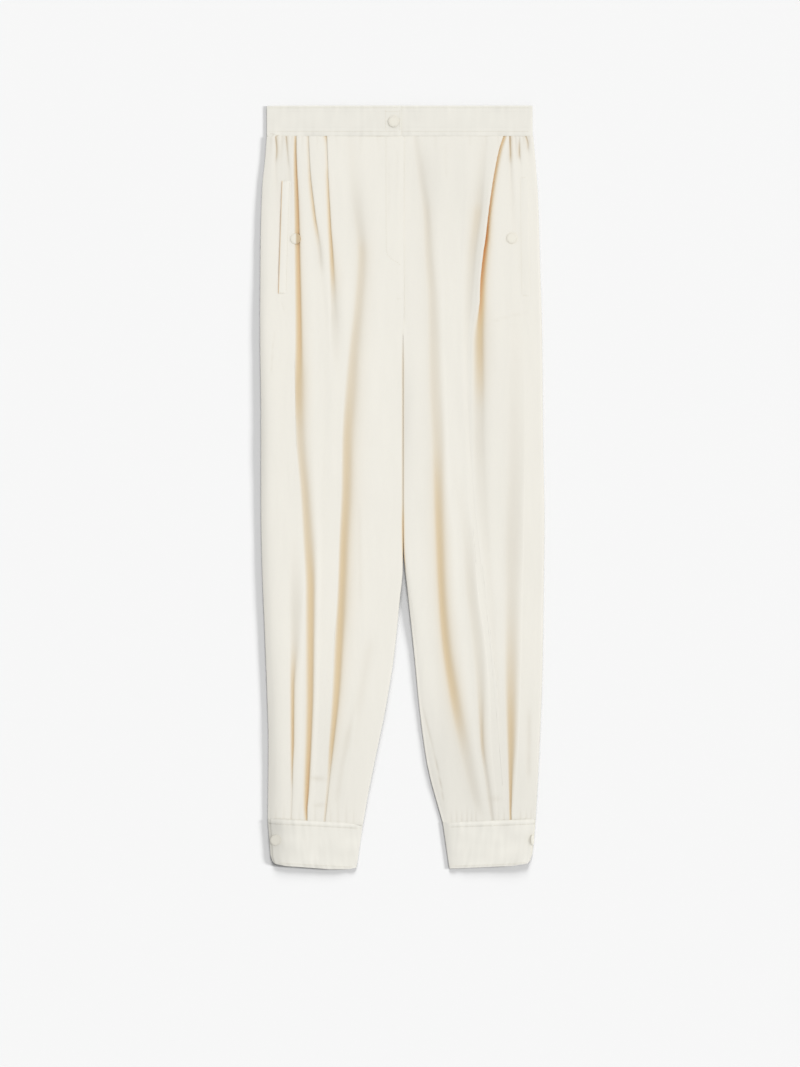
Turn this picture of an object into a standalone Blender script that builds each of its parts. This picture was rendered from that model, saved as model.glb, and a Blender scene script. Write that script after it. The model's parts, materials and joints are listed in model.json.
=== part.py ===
"""Ivory pleated trousers with buttoned cuffs, laid flat on their back.

The garment lies in the XY plane with its waist towards +Y, its front up (+Z) and the wearer's
right leg on -X. Lengths in the tables are millimetres: "down" is measured from the top edge of
the waistband, "across" outwards from the centre front line. The origin is the centre of the
garment's footprint, on the surface it lies on.
"""

import math

import bmesh
import bpy
import numpy as np
from mathutils import Matrix, Vector

MM = 0.001

# Driving sizes
TOTAL_LENGTH = 1031.0
BAND_DEPTH = 42.0
CUFF_SEAM_DOWN = 964.5
PANEL_WALL = 1.0
BAND_WALL = 1.6
CUFF_WALL = 1.6
WELT_WALL = 1.0
SEAM_GAP = 0.3
BUTTON_RADIUS = 7.3
BUTTON_HEIGHT = 3.4

# Heights of the cloth's middle above the surface it lies on
BACK_LEVEL = PANEL_WALL / 2
SIDE_SEAM_LEVEL = 3.1
FRONT_FLOOR = PANEL_WALL + SEAM_GAP + PANEL_WALL / 2
BAND_FRONT_LEVEL = 5.0
CUFF_FRONT_LEVEL = 5.2

# How finely the solids follow the cloth
FRONT_ROWS = 26
BACK_ROWS = 20
BUTTON_STEPS = 20

CLOTH_COLOUR = (0.84, 0.81, 0.73, 1.0)
BUTTON_COLOUR = (0.80, 0.76, 0.66, 1.0)

# The side edge of each leg: down, across, roll (how far in the cloth rounds over to the edge)
OUTER_COLUMNS = ("down", "across", "roll")
OUTER_EDGE = {
    "right": [
        (42, 183.2, 5), (75, 185.2, 6), (110, 188.8, 7), (200, 191.3, 8), (310, 191.8, 9),
        (420, 190.9, 9), (530, 189.8, 10), (620, 188.3, 10), (700, 185.8, 12),
        (780, 183.6, 15), (860, 181.4, 18), (965, 181.0, 12),
    ],
    "left": [
        (42, 174.6, 5), (75, 178.6, 6), (135, 182.8, 7), (200, 185.8, 8), (310, 189.8, 8),
        (460, 191.3, 8), (560, 191.8, 8), (640, 190.4, 8), (764, 188.4, 8),
        (860, 184.2, 8), (965, 179.2, 6),
    ],
}

# The centre front, then the inside leg: down, across, level of the cloth's edge, rolled (0 to 1)
INNER_COLUMNS = ("down", "across", "level", "rolled")
FLY_EDGE = 1.5
INNER_EDGE = {
    "right": [
        (42, -FLY_EDGE + 0.15, 5.3, 0), (225, -FLY_EDGE + 0.15, 5.4, 0), (252, 0.3, 4.6, 0),
        (290, 0.35, 4.4, 0), (335, 0.5, 3.6, 1), (600, 0.5, 3.3, 1), (628, 0.9, 3.3, 1),
        (665, 5.2, 3.3, 1), (742, 13.5, 3.3, 1), (816, 26.5, 3.3, 1), (886, 43.0, 3.3, 1),
        (930, 50.4, 3.3, 1), (965, 55.2, 3.3, 1),
    ],
    "left": [
        (42, FLY_EDGE + 0.15, 4.4, 0), (225, FLY_EDGE + 0.15, 4.5, 0), (252, 0.3, 4.6, 0),
        (290, 0.35, 4.4, 0), (335, 0.5, 3.6, 1), (600, 1.4, 3.3, 1), (628, 2.9, 3.3, 1),
        (665, 6.4, 3.3, 1), (742, 15.0, 3.3, 1), (816, 23.8, 3.3, 1), (886, 34.4, 3.3, 1),
        (930, 45.5, 3.3, 1), (965, 54.8, 3.3, 1),
    ],
}

# How high the front lies between its folds: down, level
FLAT_COLUMNS = ("down", "level")
FLAT_LEVEL = [(42, 4.5), (90, 5.0), (300, 5.8), (700, 5.8), (900, 5.2), (965, 4.6)]

# Each fold of the fronts, from the side inwards. half: half its width. tuck: how far the cloth
# runs in under the fold. depth: how far its bottom lies under the flat cloth. outer and inner:
# how far the cloth stands up beside it, on the side of the outer edge and of the centre.
FOLD_COLUMNS = ("down", "across", "half", "tuck", "depth", "outer", "inner")
FOLDS = {
    "right": {
        "side_gather": [
            (42, 170.5, 2.4, 0, 2.0, 0.3, 0.3), (70, 170.0, 2.6, 0, 1.6, 0.4, 0.4),
            (110, 172.5, 4.0, 0, 0.5, 0.3, 0.2), (160, 173.0, 4.0, 0, 0, 0, 0),
            (965, 167.0, 4.0, 0, 0, 0, 0),
        ],
        "outer_cuff_tuck": [
            (42, 155.8, 2.4, 0, 2.0, 0.3, 0.4), (70, 155.0, 2.4, 0, 1.5, 0.3, 0.4),
            (110, 152.5, 4.0, 0, 0.4, 0.2, 0.3), (150, 153.0, 4.0, 0, 0, 0, 0),
            (560, 148.0, 6.0, 0, 0, 0, 0), (655, 144.5, 9.0, 0, 0.9, 0.4, 0.5),
            (722, 145.8, 6.5, 0, 1.8, 0.6, 1.0), (790, 148.3, 2.6, 1.0, 2.5, 0.6, 2.0),
            (857, 148.2, 1.8, 2.0, 2.7, 0.4, 2.0), (925, 149.6, 1.6, 3.0, 2.7, 0.2, 1.6),
            (965, 151.0, 1.5, 3.5, 2.6, 0.1, 1.0),
        ],
        "main_pleat": [
            (42, 144.4, 1.6, 6.5, 2.6, 0, 1.1), (101, 141.2, 2.2, 5.0, 2.8, 0.4, 2.8),
            (148, 140.0, 2.6, 4.0, 2.9, 0.6, 3.4), (202, 138.9, 3.2, 3.0, 3.0, 0.8, 3.7),
            (324, 138.2, 3.8, 1.5, 3.0, 1.1, 3.6), (385, 140.3, 4.8, 0, 2.8, 1.4, 2.8),
            (452, 136.8, 6.8, 0, 2.3, 1.4, 2.3), (520, 131.8, 6.8, 0, 2.4, 1.5, 2.4),
            (587, 127.3, 6.0, 0, 2.7, 1.6, 2.8), (655, 123.2, 4.8, 0.5, 3.0, 1.6, 3.2),
            (790, 123.6, 3.9, 1.5, 3.0, 1.4, 3.4), (857, 125.2, 3.2, 2.0, 3.0, 1.2, 3.0),
            (925, 128.4, 2.2, 3.0, 2.8, 0.6, 2.2), (965, 129.4, 1.6, 4.0, 2.6, 0.1, 1.1),
        ],
        "second_pleat": [
            (42, 128.5, 1.5, 5.0, 2.6, 0, 0.8), (101, 125.0, 1.7, 4.0, 2.7, 0.2, 1.8),
            (148, 119.2, 2.2, 3.0, 2.7, 0.4, 2.2), (202, 111.6, 3.0, 0, 1.7, 0.4, 1.3),
            (250, 107.5, 4.0, 0, 0.6, 0.2, 0.4), (324, 101.8, 3.0, 0, 0.4, 0.1, 0.4),
            (385, 105.3, 3.0, 0, 0.5, 0.1, 0.5), (655, 107.3, 3.0, 0, 0.5, 0.1, 0.5),
            (790, 110.0, 3.0, 0, 0.2, 0, 0.2), (965, 117.5, 2.4, 0, 0, 0, 0),
        ],
        "third_pleat": [
            (42, 104.2, 1.5, 5.0, 2.6, 0, 0.8), (80, 102.4, 1.6, 4.0, 2.5, 0.1, 1.2),
            (148, 98.6, 2.0, 3.5, 2.7, 0.4, 2.1), (202, 95.8, 2.8, 2.0, 2.8, 0.5, 2.5),
            (263, 92.8, 5.0, 0, 1.9, 0.4, 1.7), (310, 90.8, 7.0, 0, 0.7, 0.2, 0.6),
            (385, 88.5, 5.0, 0, 0, 0, 0), (655, 94.0, 4.0, 0, 0, 0, 0),
            (965, 111.6, 2.2, 0, 0, 0, 0),
        ],
        "inner_drape": [
            (42, 70.0, 9.0, 0, 0.3, 0.1, 0.1), (101, 64.8, 9.0, 0, 0.6, 0.3, 0.3),
            (148, 60.0, 8.5, 0, 1.2, 0.5, 0.8), (202, 55.0, 7.0, 0, 2.1, 0.8, 1.5),
            (263, 58.4, 7.5, 0, 2.1, 0.9, 1.5), (324, 64.6, 8.0, 0, 2.2, 1.0, 1.7),
            (385, 69.3, 9.0, 0, 2.3, 1.2, 1.9), (452, 74.0, 8.5, 0, 2.5, 1.4, 2.2),
            (520, 75.4, 8.0, 0, 2.6, 1.5, 2.5), (587, 78.8, 7.5, 0, 2.8, 1.7, 2.9),
            (655, 81.4, 7.0, 0, 3.0, 1.8, 3.3), (722, 84.4, 6.2, 0.5, 3.0, 1.7, 3.5),
            (790, 88.0, 5.0, 1.0, 3.0, 1.5, 3.3), (857, 94.3, 3.6, 1.5, 2.9, 1.0, 2.6),
            (925, 101.2, 1.9, 2.5, 2.7, 0.3, 1.5), (965, 105.6, 1.5, 3.2, 2.6, 0.1, 1.0),
        ],
    },
    "left": {
        "side_gather": [
            (42, 167.2, 2.2, 0, 1.5, 0.2, 0.2), (62, 167.8, 2.4, 0, 1.1, 0.2, 0.2),
            (95, 170.5, 4.0, 0, 0.3, 0, 0), (140, 173.0, 4.0, 0, 0, 0, 0),
            (700, 177.0, 3.0, 0, 0, 0, 0), (965, 168.0, 2.5, 0, 0, 0, 0),
        ],
        "pocket_gather": [
            (42, 157.0, 2.2, 0, 1.9, 0.2, 0.3), (65, 157.2, 2.4, 0, 1.6, 0.3, 0.3),
            (100, 158.8, 3.6, 0, 0.4, 0.1, 0.1), (150, 161.0, 4.0, 0, 0, 0, 0),
            (460, 168.5, 3.0, 0, 0, 0, 0), (700, 167.0, 2.5, 0, 0, 0, 0),
            (965, 158.0, 2.5, 0, 0, 0, 0),
        ],
        "outer_cuff_tuck": [
            (42, 146.2, 1.8, 0, 2.5, 0.2, 0.6), (62, 146.6, 2.0, 0, 2.3, 0.3, 0.8),
            (101, 148.5, 3.2, 0, 1.0, 0.3, 0.4), (148, 150.0, 4.0, 0, 0.4, 0.1, 0.2),
            (200, 151.0, 5.0, 0, 0, 0, 0), (460, 151.0, 10.0, 0, 0, 0, 0),
            (587, 148.0, 11.0, 0, 1.1, 0.6, 0.7), (655, 147.0, 10.0, 0, 1.7, 0.9, 1.2),
            (790, 146.0, 8.0, 0, 2.4, 1.1, 1.8), (857, 146.2, 6.0, 0, 2.8, 1.1, 2.2),
            (925, 145.6, 2.8, 0.5, 2.8, 0.6, 1.7), (965, 146.0, 1.7, 2.0, 2.6, 0.1, 0.9),
        ],
        "main_pleat": [
            (42, 137.6, 1.5, 6.5, 2.6, 0, 1.1), (61, 131.2, 1.7, 6.5, 2.7, 0.2, 1.8),
            (101, 122.8, 2.0, 6.0, 2.8, 0.4, 2.8), (148, 115.8, 2.2, 5.0, 2.9, 0.5, 3.4),
            (202, 109.0, 3.0, 4.0, 3.0, 0.6, 3.7), (263, 103.4, 4.2, 2.0, 3.0, 0.8, 3.6),
            (324, 103.0, 6.0, 0, 2.7, 0.9, 3.0), (385, 103.4, 7.0, 0, 2.1, 0.8, 2.1),
            (452, 104.6, 8.0, 0, 1.1, 0.5, 1.0), (520, 109.0, 7.0, 0, 0.3, 0.1, 0.2),
            (600, 122.0, 4.0, 0, 0, 0, 0), (965, 140.5, 1.8, 0, 0, 0, 0),
        ],
        "knee_crease": [
            (42, 110.0, 5.0, 0, 0.2, 0.1, 0.1), (101, 104.4, 6.0, 0, 0.8, 0.3, 0.4),
            (148, 100.5, 5.5, 0, 1.7, 0.7, 1.0), (202, 93.2, 6.0, 0, 1.3, 0.7, 0.7),
            (263, 89.6, 4.5, 0, 0.5, 0.5, 0.3), (324, 85.2, 3.0, 0, 0.5, 0.6, 0.1),
            (385, 85.7, 3.0, 0, 0.5, 0.7, 0.1), (520, 93.0, 3.0, 0, 0.5, 0.7, 0.1),
            (655, 105.6, 3.0, 0, 0.5, 0.7, 0.1), (722, 114.8, 3.0, 0, 0.3, 0.4, 0.1),
            (790, 125.0, 2.6, 0, 0.1, 0.1, 0), (965, 134.5, 1.8, 0, 0, 0, 0),
        ],
        "middle_cuff_tuck": [
            (42, 62.0, 6.0, 0, 0, 0, 0), (450, 70.0, 8.0, 0, 0, 0, 0),
            (520, 76.0, 8.0, 0, 0.2, 0.1, 0.1), (587, 87.0, 8.0, 0, 0.7, 0.5, 0.4),
            (655, 91.5, 8.0, 0, 1.4, 1.2, 0.6), (722, 100.0, 8.0, 0, 1.5, 1.2, 0.6),
            (790, 105.0, 6.0, 0, 1.9, 1.6, 0.6), (857, 107.0, 3.2, 0, 2.3, 1.8, 0.5),
            (925, 115.8, 3.4, 0, 1.4, 1.1, 0.3), (965, 121.0, 2.4, 0, 1.2, 0.6, 0.2),
        ],
        "inner_drape": [
            (42, 17.0, 5.0, 0, 0.6, 0.1, 0.2), (101, 26.3, 6.5, 0, 1.2, 0.5, 0.7),
            (148, 32.4, 6.0, 0, 1.9, 0.7, 1.1), (202, 35.1, 6.5, 0, 1.9, 0.7, 1.1),
            (263, 39.8, 7.5, 0, 1.9, 0.7, 1.2), (385, 43.2, 9.0, 0, 2.0, 0.8, 1.3),
            (452, 46.6, 9.0, 0, 2.1, 0.9, 1.5), (520, 47.9, 8.0, 0, 2.5, 1.2, 1.9),
            (587, 50.0, 7.5, 0, 2.8, 1.5, 2.5), (655, 52.7, 7.2, 0, 3.0, 1.7, 3.0),
            (722, 58.0, 7.5, 0, 3.0, 1.7, 3.0), (790, 68.2, 8.5, 0, 2.7, 1.5, 2.4),
            (857, 81.0, 9.0, 0, 1.9, 1.0, 1.4), (925, 96.0, 7.0, 0, 0.8, 0.3, 0.4),
            (965, 107.0, 4.0, 0, 0.1, 0, 0),
        ],
    },
}
CROWN_REACH = 6.0
RELIEF = 1.3

# The bands, each one strip with a lap: where it folds, the ends of its lap and underlap
BAND_COLUMNS = ("far_side", "lap_side", "lap_end", "under_end", "front_level", "down")
WAIST_RIGHT = 183.2
WAIST_LEFT = 174.6
WAIST_LAP_END = -2.7
WAIST_UNDER_END = -32.0
LAP_RISE = 1.2
UNDER_DROP = 0.8
CUFF_UNDERLAP = 32.0
CUFF_LAP_BACK = {"right": 6.8, "left": 2.6}

# Rows of a cuff: share of its depth, how far the front sinks, its outer and its inner side
CUFF_ROWS = {
    "right": [
        (0, 0.35, 181.6, 54.0), (0.08, 0, 181.4, 54.6), (0.5, -0.1, 180.3, 58.2),
        (0.88, 0, 179.2, 61.4), (1, 0.35, 176.4, 63.0),
    ],
    "left": [
        (0, 0.35, 179.0, 54.8), (0.08, 0, 178.8, 55.2), (0.5, -0.1, 177.2, 58.4),
        (0.88, 0, 174.8, 61.4), (1, 0.35, 171.6, 62.6),
    ],
}
# The lower edge of each cuff: across, down
CUFF_HEM = {
    "right": [(62.8, 1028.0), (71.6, 1030.7), (98.6, 1030.9), (139, 1027.4), (171.5, 1024.7),
              (178.9, 1019.3)],
    "left": [(62.1, 1030.2), (100, 1028.6), (148.5, 1026.0), (167.4, 1022.6), (174.2, 1015.2)],
}

# Pocket openings: the inner edge's upper and lower end (down, across)
WELT_WIDTH = 12.0
POCKET_WELT = {
    "right": [(103, 151.4), (255, 156.2)],
    "left": [(97, 156.6), (259, 158.6)],
}
# Buttons. Pocket: down, across. Cuff: x, down, level of its back, tilt in degrees
POCKET_BUTTON = {"right": (181.0, 146.1), "left": (180.4, 146.7)}
CUFF_BUTTON = {"right": (-171.0, 992.0, 7.6, 0), "left": (176.4, 991.5, 6.9, 55)}


def column(table, names, name):
    """One named column of a table."""
    return np.array([row[names.index(name)] for row in table], float)


def follow(table, names, name, down):
    """A column's value at a distance down the garment: a smooth curve with no overshoot."""
    at = column(table, names, "down")
    value = column(table, names, name)
    step = np.diff(at)
    slope = np.diff(value) / step
    tangent = np.empty(len(at))
    tangent[0], tangent[-1] = slope[0], slope[-1]
    for i in range(1, len(at) - 1):
        before, after = slope[i - 1], slope[i]
        same_way = before * after > 0
        tangent[i] = 2 * before * after / (before + after) if same_way else 0.0
    down = min(max(down, at[0]), at[-1])
    i = min(int(np.searchsorted(at, down, side="right")) - 1, len(step) - 1)
    t = (down - at[i]) / step[i]
    return (
        (2 * t**3 - 3 * t**2 + 1) * value[i]
        + (t**3 - 2 * t**2 + t) * step[i] * tangent[i]
        + (3 * t**2 - 2 * t**3) * value[i + 1]
        + (t**3 - t**2) * step[i] * tangent[i + 1]
    )


def soft_curve(controls, count):
    """Evenly spread points of a cubic B-spline that starts and ends at the end controls."""
    p = np.array(controls, float)
    p = np.vstack([2 * p[0] - p[1], p, 2 * p[-1] - p[-2]])
    spans = len(p) - 3
    points = []
    for u in np.linspace(0, spans, count):
        i = min(int(u), spans - 1)
        t = u - i
        weights = (
            (1 - t) ** 3 / 6,
            (3 * t**3 - 6 * t**2 + 4) / 6,
            (-3 * t**3 + 3 * t**2 + 3 * t + 1) / 6,
            t**3 / 6,
        )
        points.append(sum(w * p[i + k] for k, w in enumerate(weights)))
    return np.array(points)


def fold_controls(fold, down, flat, next_across):
    """The five points that steer the cloth through a fold, from its outer side inwards."""
    across, half, tuck, depth, outer, inner = (
        follow(fold, FOLD_COLUMNS, name, down) for name in FOLD_COLUMNS[1:]
    )
    depth, outer, inner = depth * RELIEF, outer * RELIEF, inner * RELIEF
    bottom = max(flat - depth, FRONT_FLOOR)
    top = flat + inner
    folded = min(max(tuck / 1.5, 0.0), 1.0)
    brow = across - half * (1 - folded)
    crown = brow - min(CROWN_REACH, 0.4 * max(brow - next_across, 1.0))
    turn_level = bottom + folded * 0.42 * (top - bottom)
    brow_level = top - (1 - folded) * 0.15 * (top - bottom) - folded * 0.02
    return [
        (across + half + 1.5 * folded, flat + outer),
        (across + half * 0.35 * (1 - folded) - 0.55 * tuck, bottom),
        (across - half * 0.35 * (1 - folded) - tuck, turn_level),
        (brow + 0.6 * folded, brow_level),
        (crown, top),
    ]


def front_controls(side, down):
    """Control points (across, level) of a front's cross section, from side seam to inner edge."""
    flat = follow(FLAT_LEVEL, FLAT_COLUMNS, "level", down)
    edge = follow(OUTER_EDGE[side], OUTER_COLUMNS, "across", down) - PANEL_WALL / 2
    roll = follow(OUTER_EDGE[side], OUTER_COLUMNS, "roll", down)
    inner, level, rolled = (
        follow(INNER_EDGE[side], INNER_COLUMNS, name, down) for name in INNER_COLUMNS[1:]
    )
    seam = SIDE_SEAM_LEVEL + SEAM_GAP
    points = [(edge, seam), (edge, seam + 0.5 * (flat - seam)), (edge - 0.35 * roll, flat)]
    folds = list(FOLDS[side].values())
    starts = [follow(f, FOLD_COLUMNS, "across", down) + follow(f, FOLD_COLUMNS, "half", down)
              for f in folds[1:]] + [inner + 8]
    for fold, next_across in zip(folds, starts):
        steered = fold_controls(fold, down, flat, next_across)
        last = points[-1]
        points.append(((last[0] + steered[0][0]) / 2, flat + 0.25 * (last[1] - flat)))
        points += steered
    wall_edge = inner + PANEL_WALL / 2
    points.append(((points[-1][0] + inner + 9) / 2, flat))
    points += [
        (inner + 5 + 1.5 * rolled, flat + (1 - rolled) * (level - flat)),
        (inner + 2 - 1.1 * rolled, level + rolled * (flat - 0.3 - level)),
        (inner + rolled * (wall_edge - inner), level),
    ]
    return points


def back_controls(side, down):
    """Control points of a back's cross section: flat underneath, curled up at both edges."""
    edge = follow(OUTER_EDGE[side], OUTER_COLUMNS, "across", down) - PANEL_WALL / 2
    inner, _, rolled = (
        follow(INNER_EDGE[side], INNER_COLUMNS, name, down) for name in INNER_COLUMNS[1:]
    )
    centre = SEAM_GAP / 2 if down < 220 else max(inner, 0.45)
    seam = SIDE_SEAM_LEVEL - SEAM_GAP
    inner_top = BACK_LEVEL + rolled * (seam - BACK_LEVEL)
    wall_edge = centre + min(1, 5 * rolled) * PANEL_WALL / 2
    outer_side = [(edge, seam), (edge, 1.3), (edge - 1.6, BACK_LEVEL), (edge - 5, BACK_LEVEL)]
    inner_side = [
        (centre + 5.5, BACK_LEVEL),
        (centre + 2.1, BACK_LEVEL),
        (wall_edge, BACK_LEVEL + rolled * 0.8),
        (wall_edge, inner_top),
    ]
    middle = [
        (outer_side[-1][0] + (inner_side[0][0] - outer_side[-1][0]) * k / 4, BACK_LEVEL)
        for k in range(1, 4)
    ]
    return outer_side + middle + inner_side


def to_world(side, across, down, level):
    """A point of the garment in metres."""
    sign = -1 if side == "right" else 1
    return Vector((sign * across, TOTAL_LENGTH / 2 - down, level)) * MM


def cuff_seam_slant(side, across):
    """The seam to a cuff isn't quite level: it drops towards the inside leg."""
    drop = {"right": 5.2, "left": 3.6}[side]
    return drop * (150 - across) / 95


def end_of_leg(side, down, across):
    """Leans the lowest rows of a leg so that they meet the slanted cuff seam."""
    share = min(max((down - 880) / (CUFF_SEAM_DOWN - 880), 0), 1)
    return down + share * share * cuff_seam_slant(side, across)


def loft(name, rows, wall, colour, collection):
    """A cloth wall: sections joined into a sheet through the cloth's middle, then thickened."""
    mesh = bpy.data.meshes.new(name)
    made = bmesh.new()
    grid = [[made.verts.new(point) for point in row] for row in rows]
    for upper, lower in zip(grid, grid[1:]):
        for k in range(len(upper) - 1):
            made.faces.new((upper[k], upper[k + 1], lower[k + 1], lower[k]))
    made.to_mesh(mesh)
    made.free()
    obj = bpy.data.objects.new(name, mesh)
    collection.objects.link(obj)
    mesh.materials.append(colour)
    mesh.shade_smooth()
    thick = obj.modifiers.new("Cloth wall", "SOLIDIFY")
    thick.thickness = wall * MM
    thick.offset = 0
    return obj


def stations(count, first, last, crowding=0.06):
    """Distances down the leg, closer together at both ends, where the folds change most."""
    for t in np.linspace(0, 1, count):
        eased = t - crowding * math.sin(2 * math.pi * t)
        yield first + (last - first) * eased


def leg_panel(name, side, controls, rows, colour, collection):
    first = BAND_DEPTH + SEAM_GAP
    sections = []
    for down in stations(rows, first, CUFF_SEAM_DOWN):
        guides = controls(side, down)
        curve = soft_curve(guides, len(guides))
        sections.append(
            [to_world(side, a, end_of_leg(side, down, a), z) for a, z in curve]
        )
    return loft(name, sections, PANEL_WALL, colour, collection)


def wrapped_path(at):
    """Control points (x, level) round a band laid flat: from its lap end over the front, round
    one side, along the back, round the other side and in under the lap."""
    far, near, lap, under = at["far_side"], at["lap_side"], at["lap_end"], at["under_end"]
    away = math.copysign(1.0, far - near)
    half_wall = away * at["wall"] / 2
    low = at["wall"] / 2
    top = at["front_level"]
    raised = top + LAP_RISE
    tucked = top - UNDER_DROP
    over = far - under
    return [
        (lap, raised),
        (lap + 0.5 * (under - lap), raised),
        (under, raised),
        (under + away * 4, raised - 0.1),
        (under + away * 9, top + 0.1),
        (under + away * 14, top),
        (under + 0.4 * over, top),
        (under + 0.7 * over, top),
        (far - away * 9, top),
        (far - away * 3, top - 0.1),
        (far - half_wall, top - 0.6),
        (far - half_wall, low + 0.6),
        (far - away * 3, low),
        (far - away * 6, low),
        (far - away * 9, low),
        (far + (near - far) * 0.35, low),
        (far + (near - far) * 0.65, low),
        (near + away * 9, low),
        (near + away * 6, low),
        (near + away * 3, low),
        (near + half_wall, low + 0.5),
        (near + half_wall, tucked - 0.6),
        (near + away * 2.4, tucked),
        (near + away * 7, tucked),
        (near + away * 12 + 0.5 * (under - near - away * 12), tucked),
        (under, tucked),
    ]


def wrapped_band(name, edges, wall, colour, collection):
    """A band in the round, from a table of its rows."""
    sections = []
    for row in edges:
        at = dict(zip(BAND_COLUMNS, row), wall=wall)
        curve = soft_curve(wrapped_path(at), 26)
        sections.append(
            [Vector((x, TOTAL_LENGTH / 2 - at["down"](x), z)) * MM for x, z in curve]
        )
    return loft(name, sections, wall, colour, collection)


def waistband(colour, collection):
    rows = []
    for share, drop in ((0, 0.35), (0.07, 0), (0.5, -0.1), (0.93, 0), (1, 0.35)):
        rows.append((
            -WAIST_RIGHT, WAIST_LEFT, WAIST_LAP_END, WAIST_UNDER_END, BAND_FRONT_LEVEL - drop,
            lambda x, share=share: BAND_DEPTH * share,
        ))
    return wrapped_band("waistband", rows, BAND_WALL, colour, collection)


def cuff(side, colour, collection):
    sign = -1 if side == "right" else 1
    rows = []
    for share, drop, outer, inner in CUFF_ROWS[side]:
        def down(x, share=share):
            across = abs(x)
            top = CUFF_SEAM_DOWN + SEAM_GAP + cuff_seam_slant(side, across)
            hem = np.interp(across, *zip(*CUFF_HEM[side]))
            return top + (hem - top) * share
        rows.append((
            sign * inner, sign * outer, sign * (outer - CUFF_LAP_BACK[side]),
            sign * (outer - CUFF_UNDERLAP), CUFF_FRONT_LEVEL - drop, down,
        ))
    return wrapped_band("cuff_" + side, rows, CUFF_WALL, colour, collection)


def surface_level(side, down, across):
    """Height of a front's outer face on its plain part beside the pocket."""
    curve = soft_curve(front_controls(side, down), 260)
    plain = curve[curve[:, 0] > across - 9]
    order = np.argsort(plain[:, 0])
    return float(np.interp(across, plain[order, 0], plain[order, 1])) + PANEL_WALL / 2


def pocket_welt(side, colour, collection):
    """The narrow strip at a pocket's opening, lying on the front."""
    rows = []
    for share in np.linspace(0, 1, 9):
        top, foot = POCKET_WELT[side]
        down = top[0] + (foot[0] - top[0]) * share
        inner = top[1] + (foot[1] - top[1]) * share
        row = []
        for reach in np.linspace(0, WELT_WIDTH, 4):
            level = surface_level(side, down, inner + reach) + SEAM_GAP + 0.1 + WELT_WALL / 2
            row.append(to_world(side, inner + reach, down, level))
        rows.append(row[::-1])
    return loft("pocket_welt_" + side, rows, WELT_WALL, colour, collection)


def button(name, centre, tilt, colour, collection):
    """A cloth-covered button: a rounded rim and a gently domed face, turned about its axis."""
    r, h = BUTTON_RADIUS, BUTTON_HEIGHT
    profile = [
        (0.0, h), (0.45 * r, 0.97 * h), (0.75 * r, 0.86 * h), (0.93 * r, 0.66 * h),
        (r, 0.40 * h), (0.94 * r, 0.14 * h), (0.80 * r, 0.0), (0.0, 0.0),
    ]
    mesh = bpy.data.meshes.new(name)
    edges = [(k, k + 1) for k in range(len(profile) - 1)]
    mesh.from_pydata([Vector((x, 0, z)) * MM for x, z in profile], edges, [])
    mesh.materials.append(colour)
    obj = bpy.data.objects.new(name, mesh)
    collection.objects.link(obj)
    turned = obj.modifiers.new("Turned", "SCREW")
    turned.steps = BUTTON_STEPS
    turned.render_steps = BUTTON_STEPS
    turned.use_merge_vertices = True
    turned.merge_threshold = 0.00001
    turned.use_smooth_shade = True
    x, down, level = centre
    place = Vector((x, TOTAL_LENGTH / 2 - down, level)) * MM
    obj.matrix_world = Matrix.Translation(place) @ Matrix.Rotation(math.radians(tilt), 4, "Y")
    return obj


def cloth(name, colour, roughness):
    made = bpy.data.materials.new(name)
    made.use_nodes = True
    surface = made.node_tree.nodes["Principled BSDF"]
    surface.inputs["Base Color"].default_value = colour
    surface.inputs["Roughness"].default_value = roughness
    return made


def build():
    for obj in list(bpy.data.objects):
        bpy.data.objects.remove(obj)
    trousers = bpy.data.collections.new("pleated_trousers")
    bpy.context.scene.collection.children.link(trousers)
    ivory = cloth("ivory_twill", CLOTH_COLOUR, 0.85)
    covered = cloth("covered_button", BUTTON_COLOUR, 0.7)

    waistband(ivory, trousers)
    for side in ("right", "left"):
        leg_panel("front_" + side, side, front_controls, FRONT_ROWS, ivory, trousers)
        leg_panel("back_" + side, side, back_controls, BACK_ROWS, ivory, trousers)
        pocket_welt(side, ivory, trousers)
        cuff(side, ivory, trousers)
        sign = -1 if side == "right" else 1
        down, across = POCKET_BUTTON[side]
        level = surface_level(side, down, across) + 0.6
        button("pocket_button_" + side, (sign * across, down, level), 0, covered, trousers)
        x, down, level, tilt = CUFF_BUTTON[side]
        button("cuff_button_" + side, (x, down, level), tilt, covered, trousers)
    on_lap = BAND_FRONT_LEVEL + 0.1 + LAP_RISE + BAND_WALL / 2 + SEAM_GAP
    button("waist_button", (-12.7, 23.0, on_lap), 0, covered, trousers)


build()
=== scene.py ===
import json
import math

import bpy
import numpy as np
from mathutils import Matrix, Vector, noise
from mathutils.bvhtree import BVHTree

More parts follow.
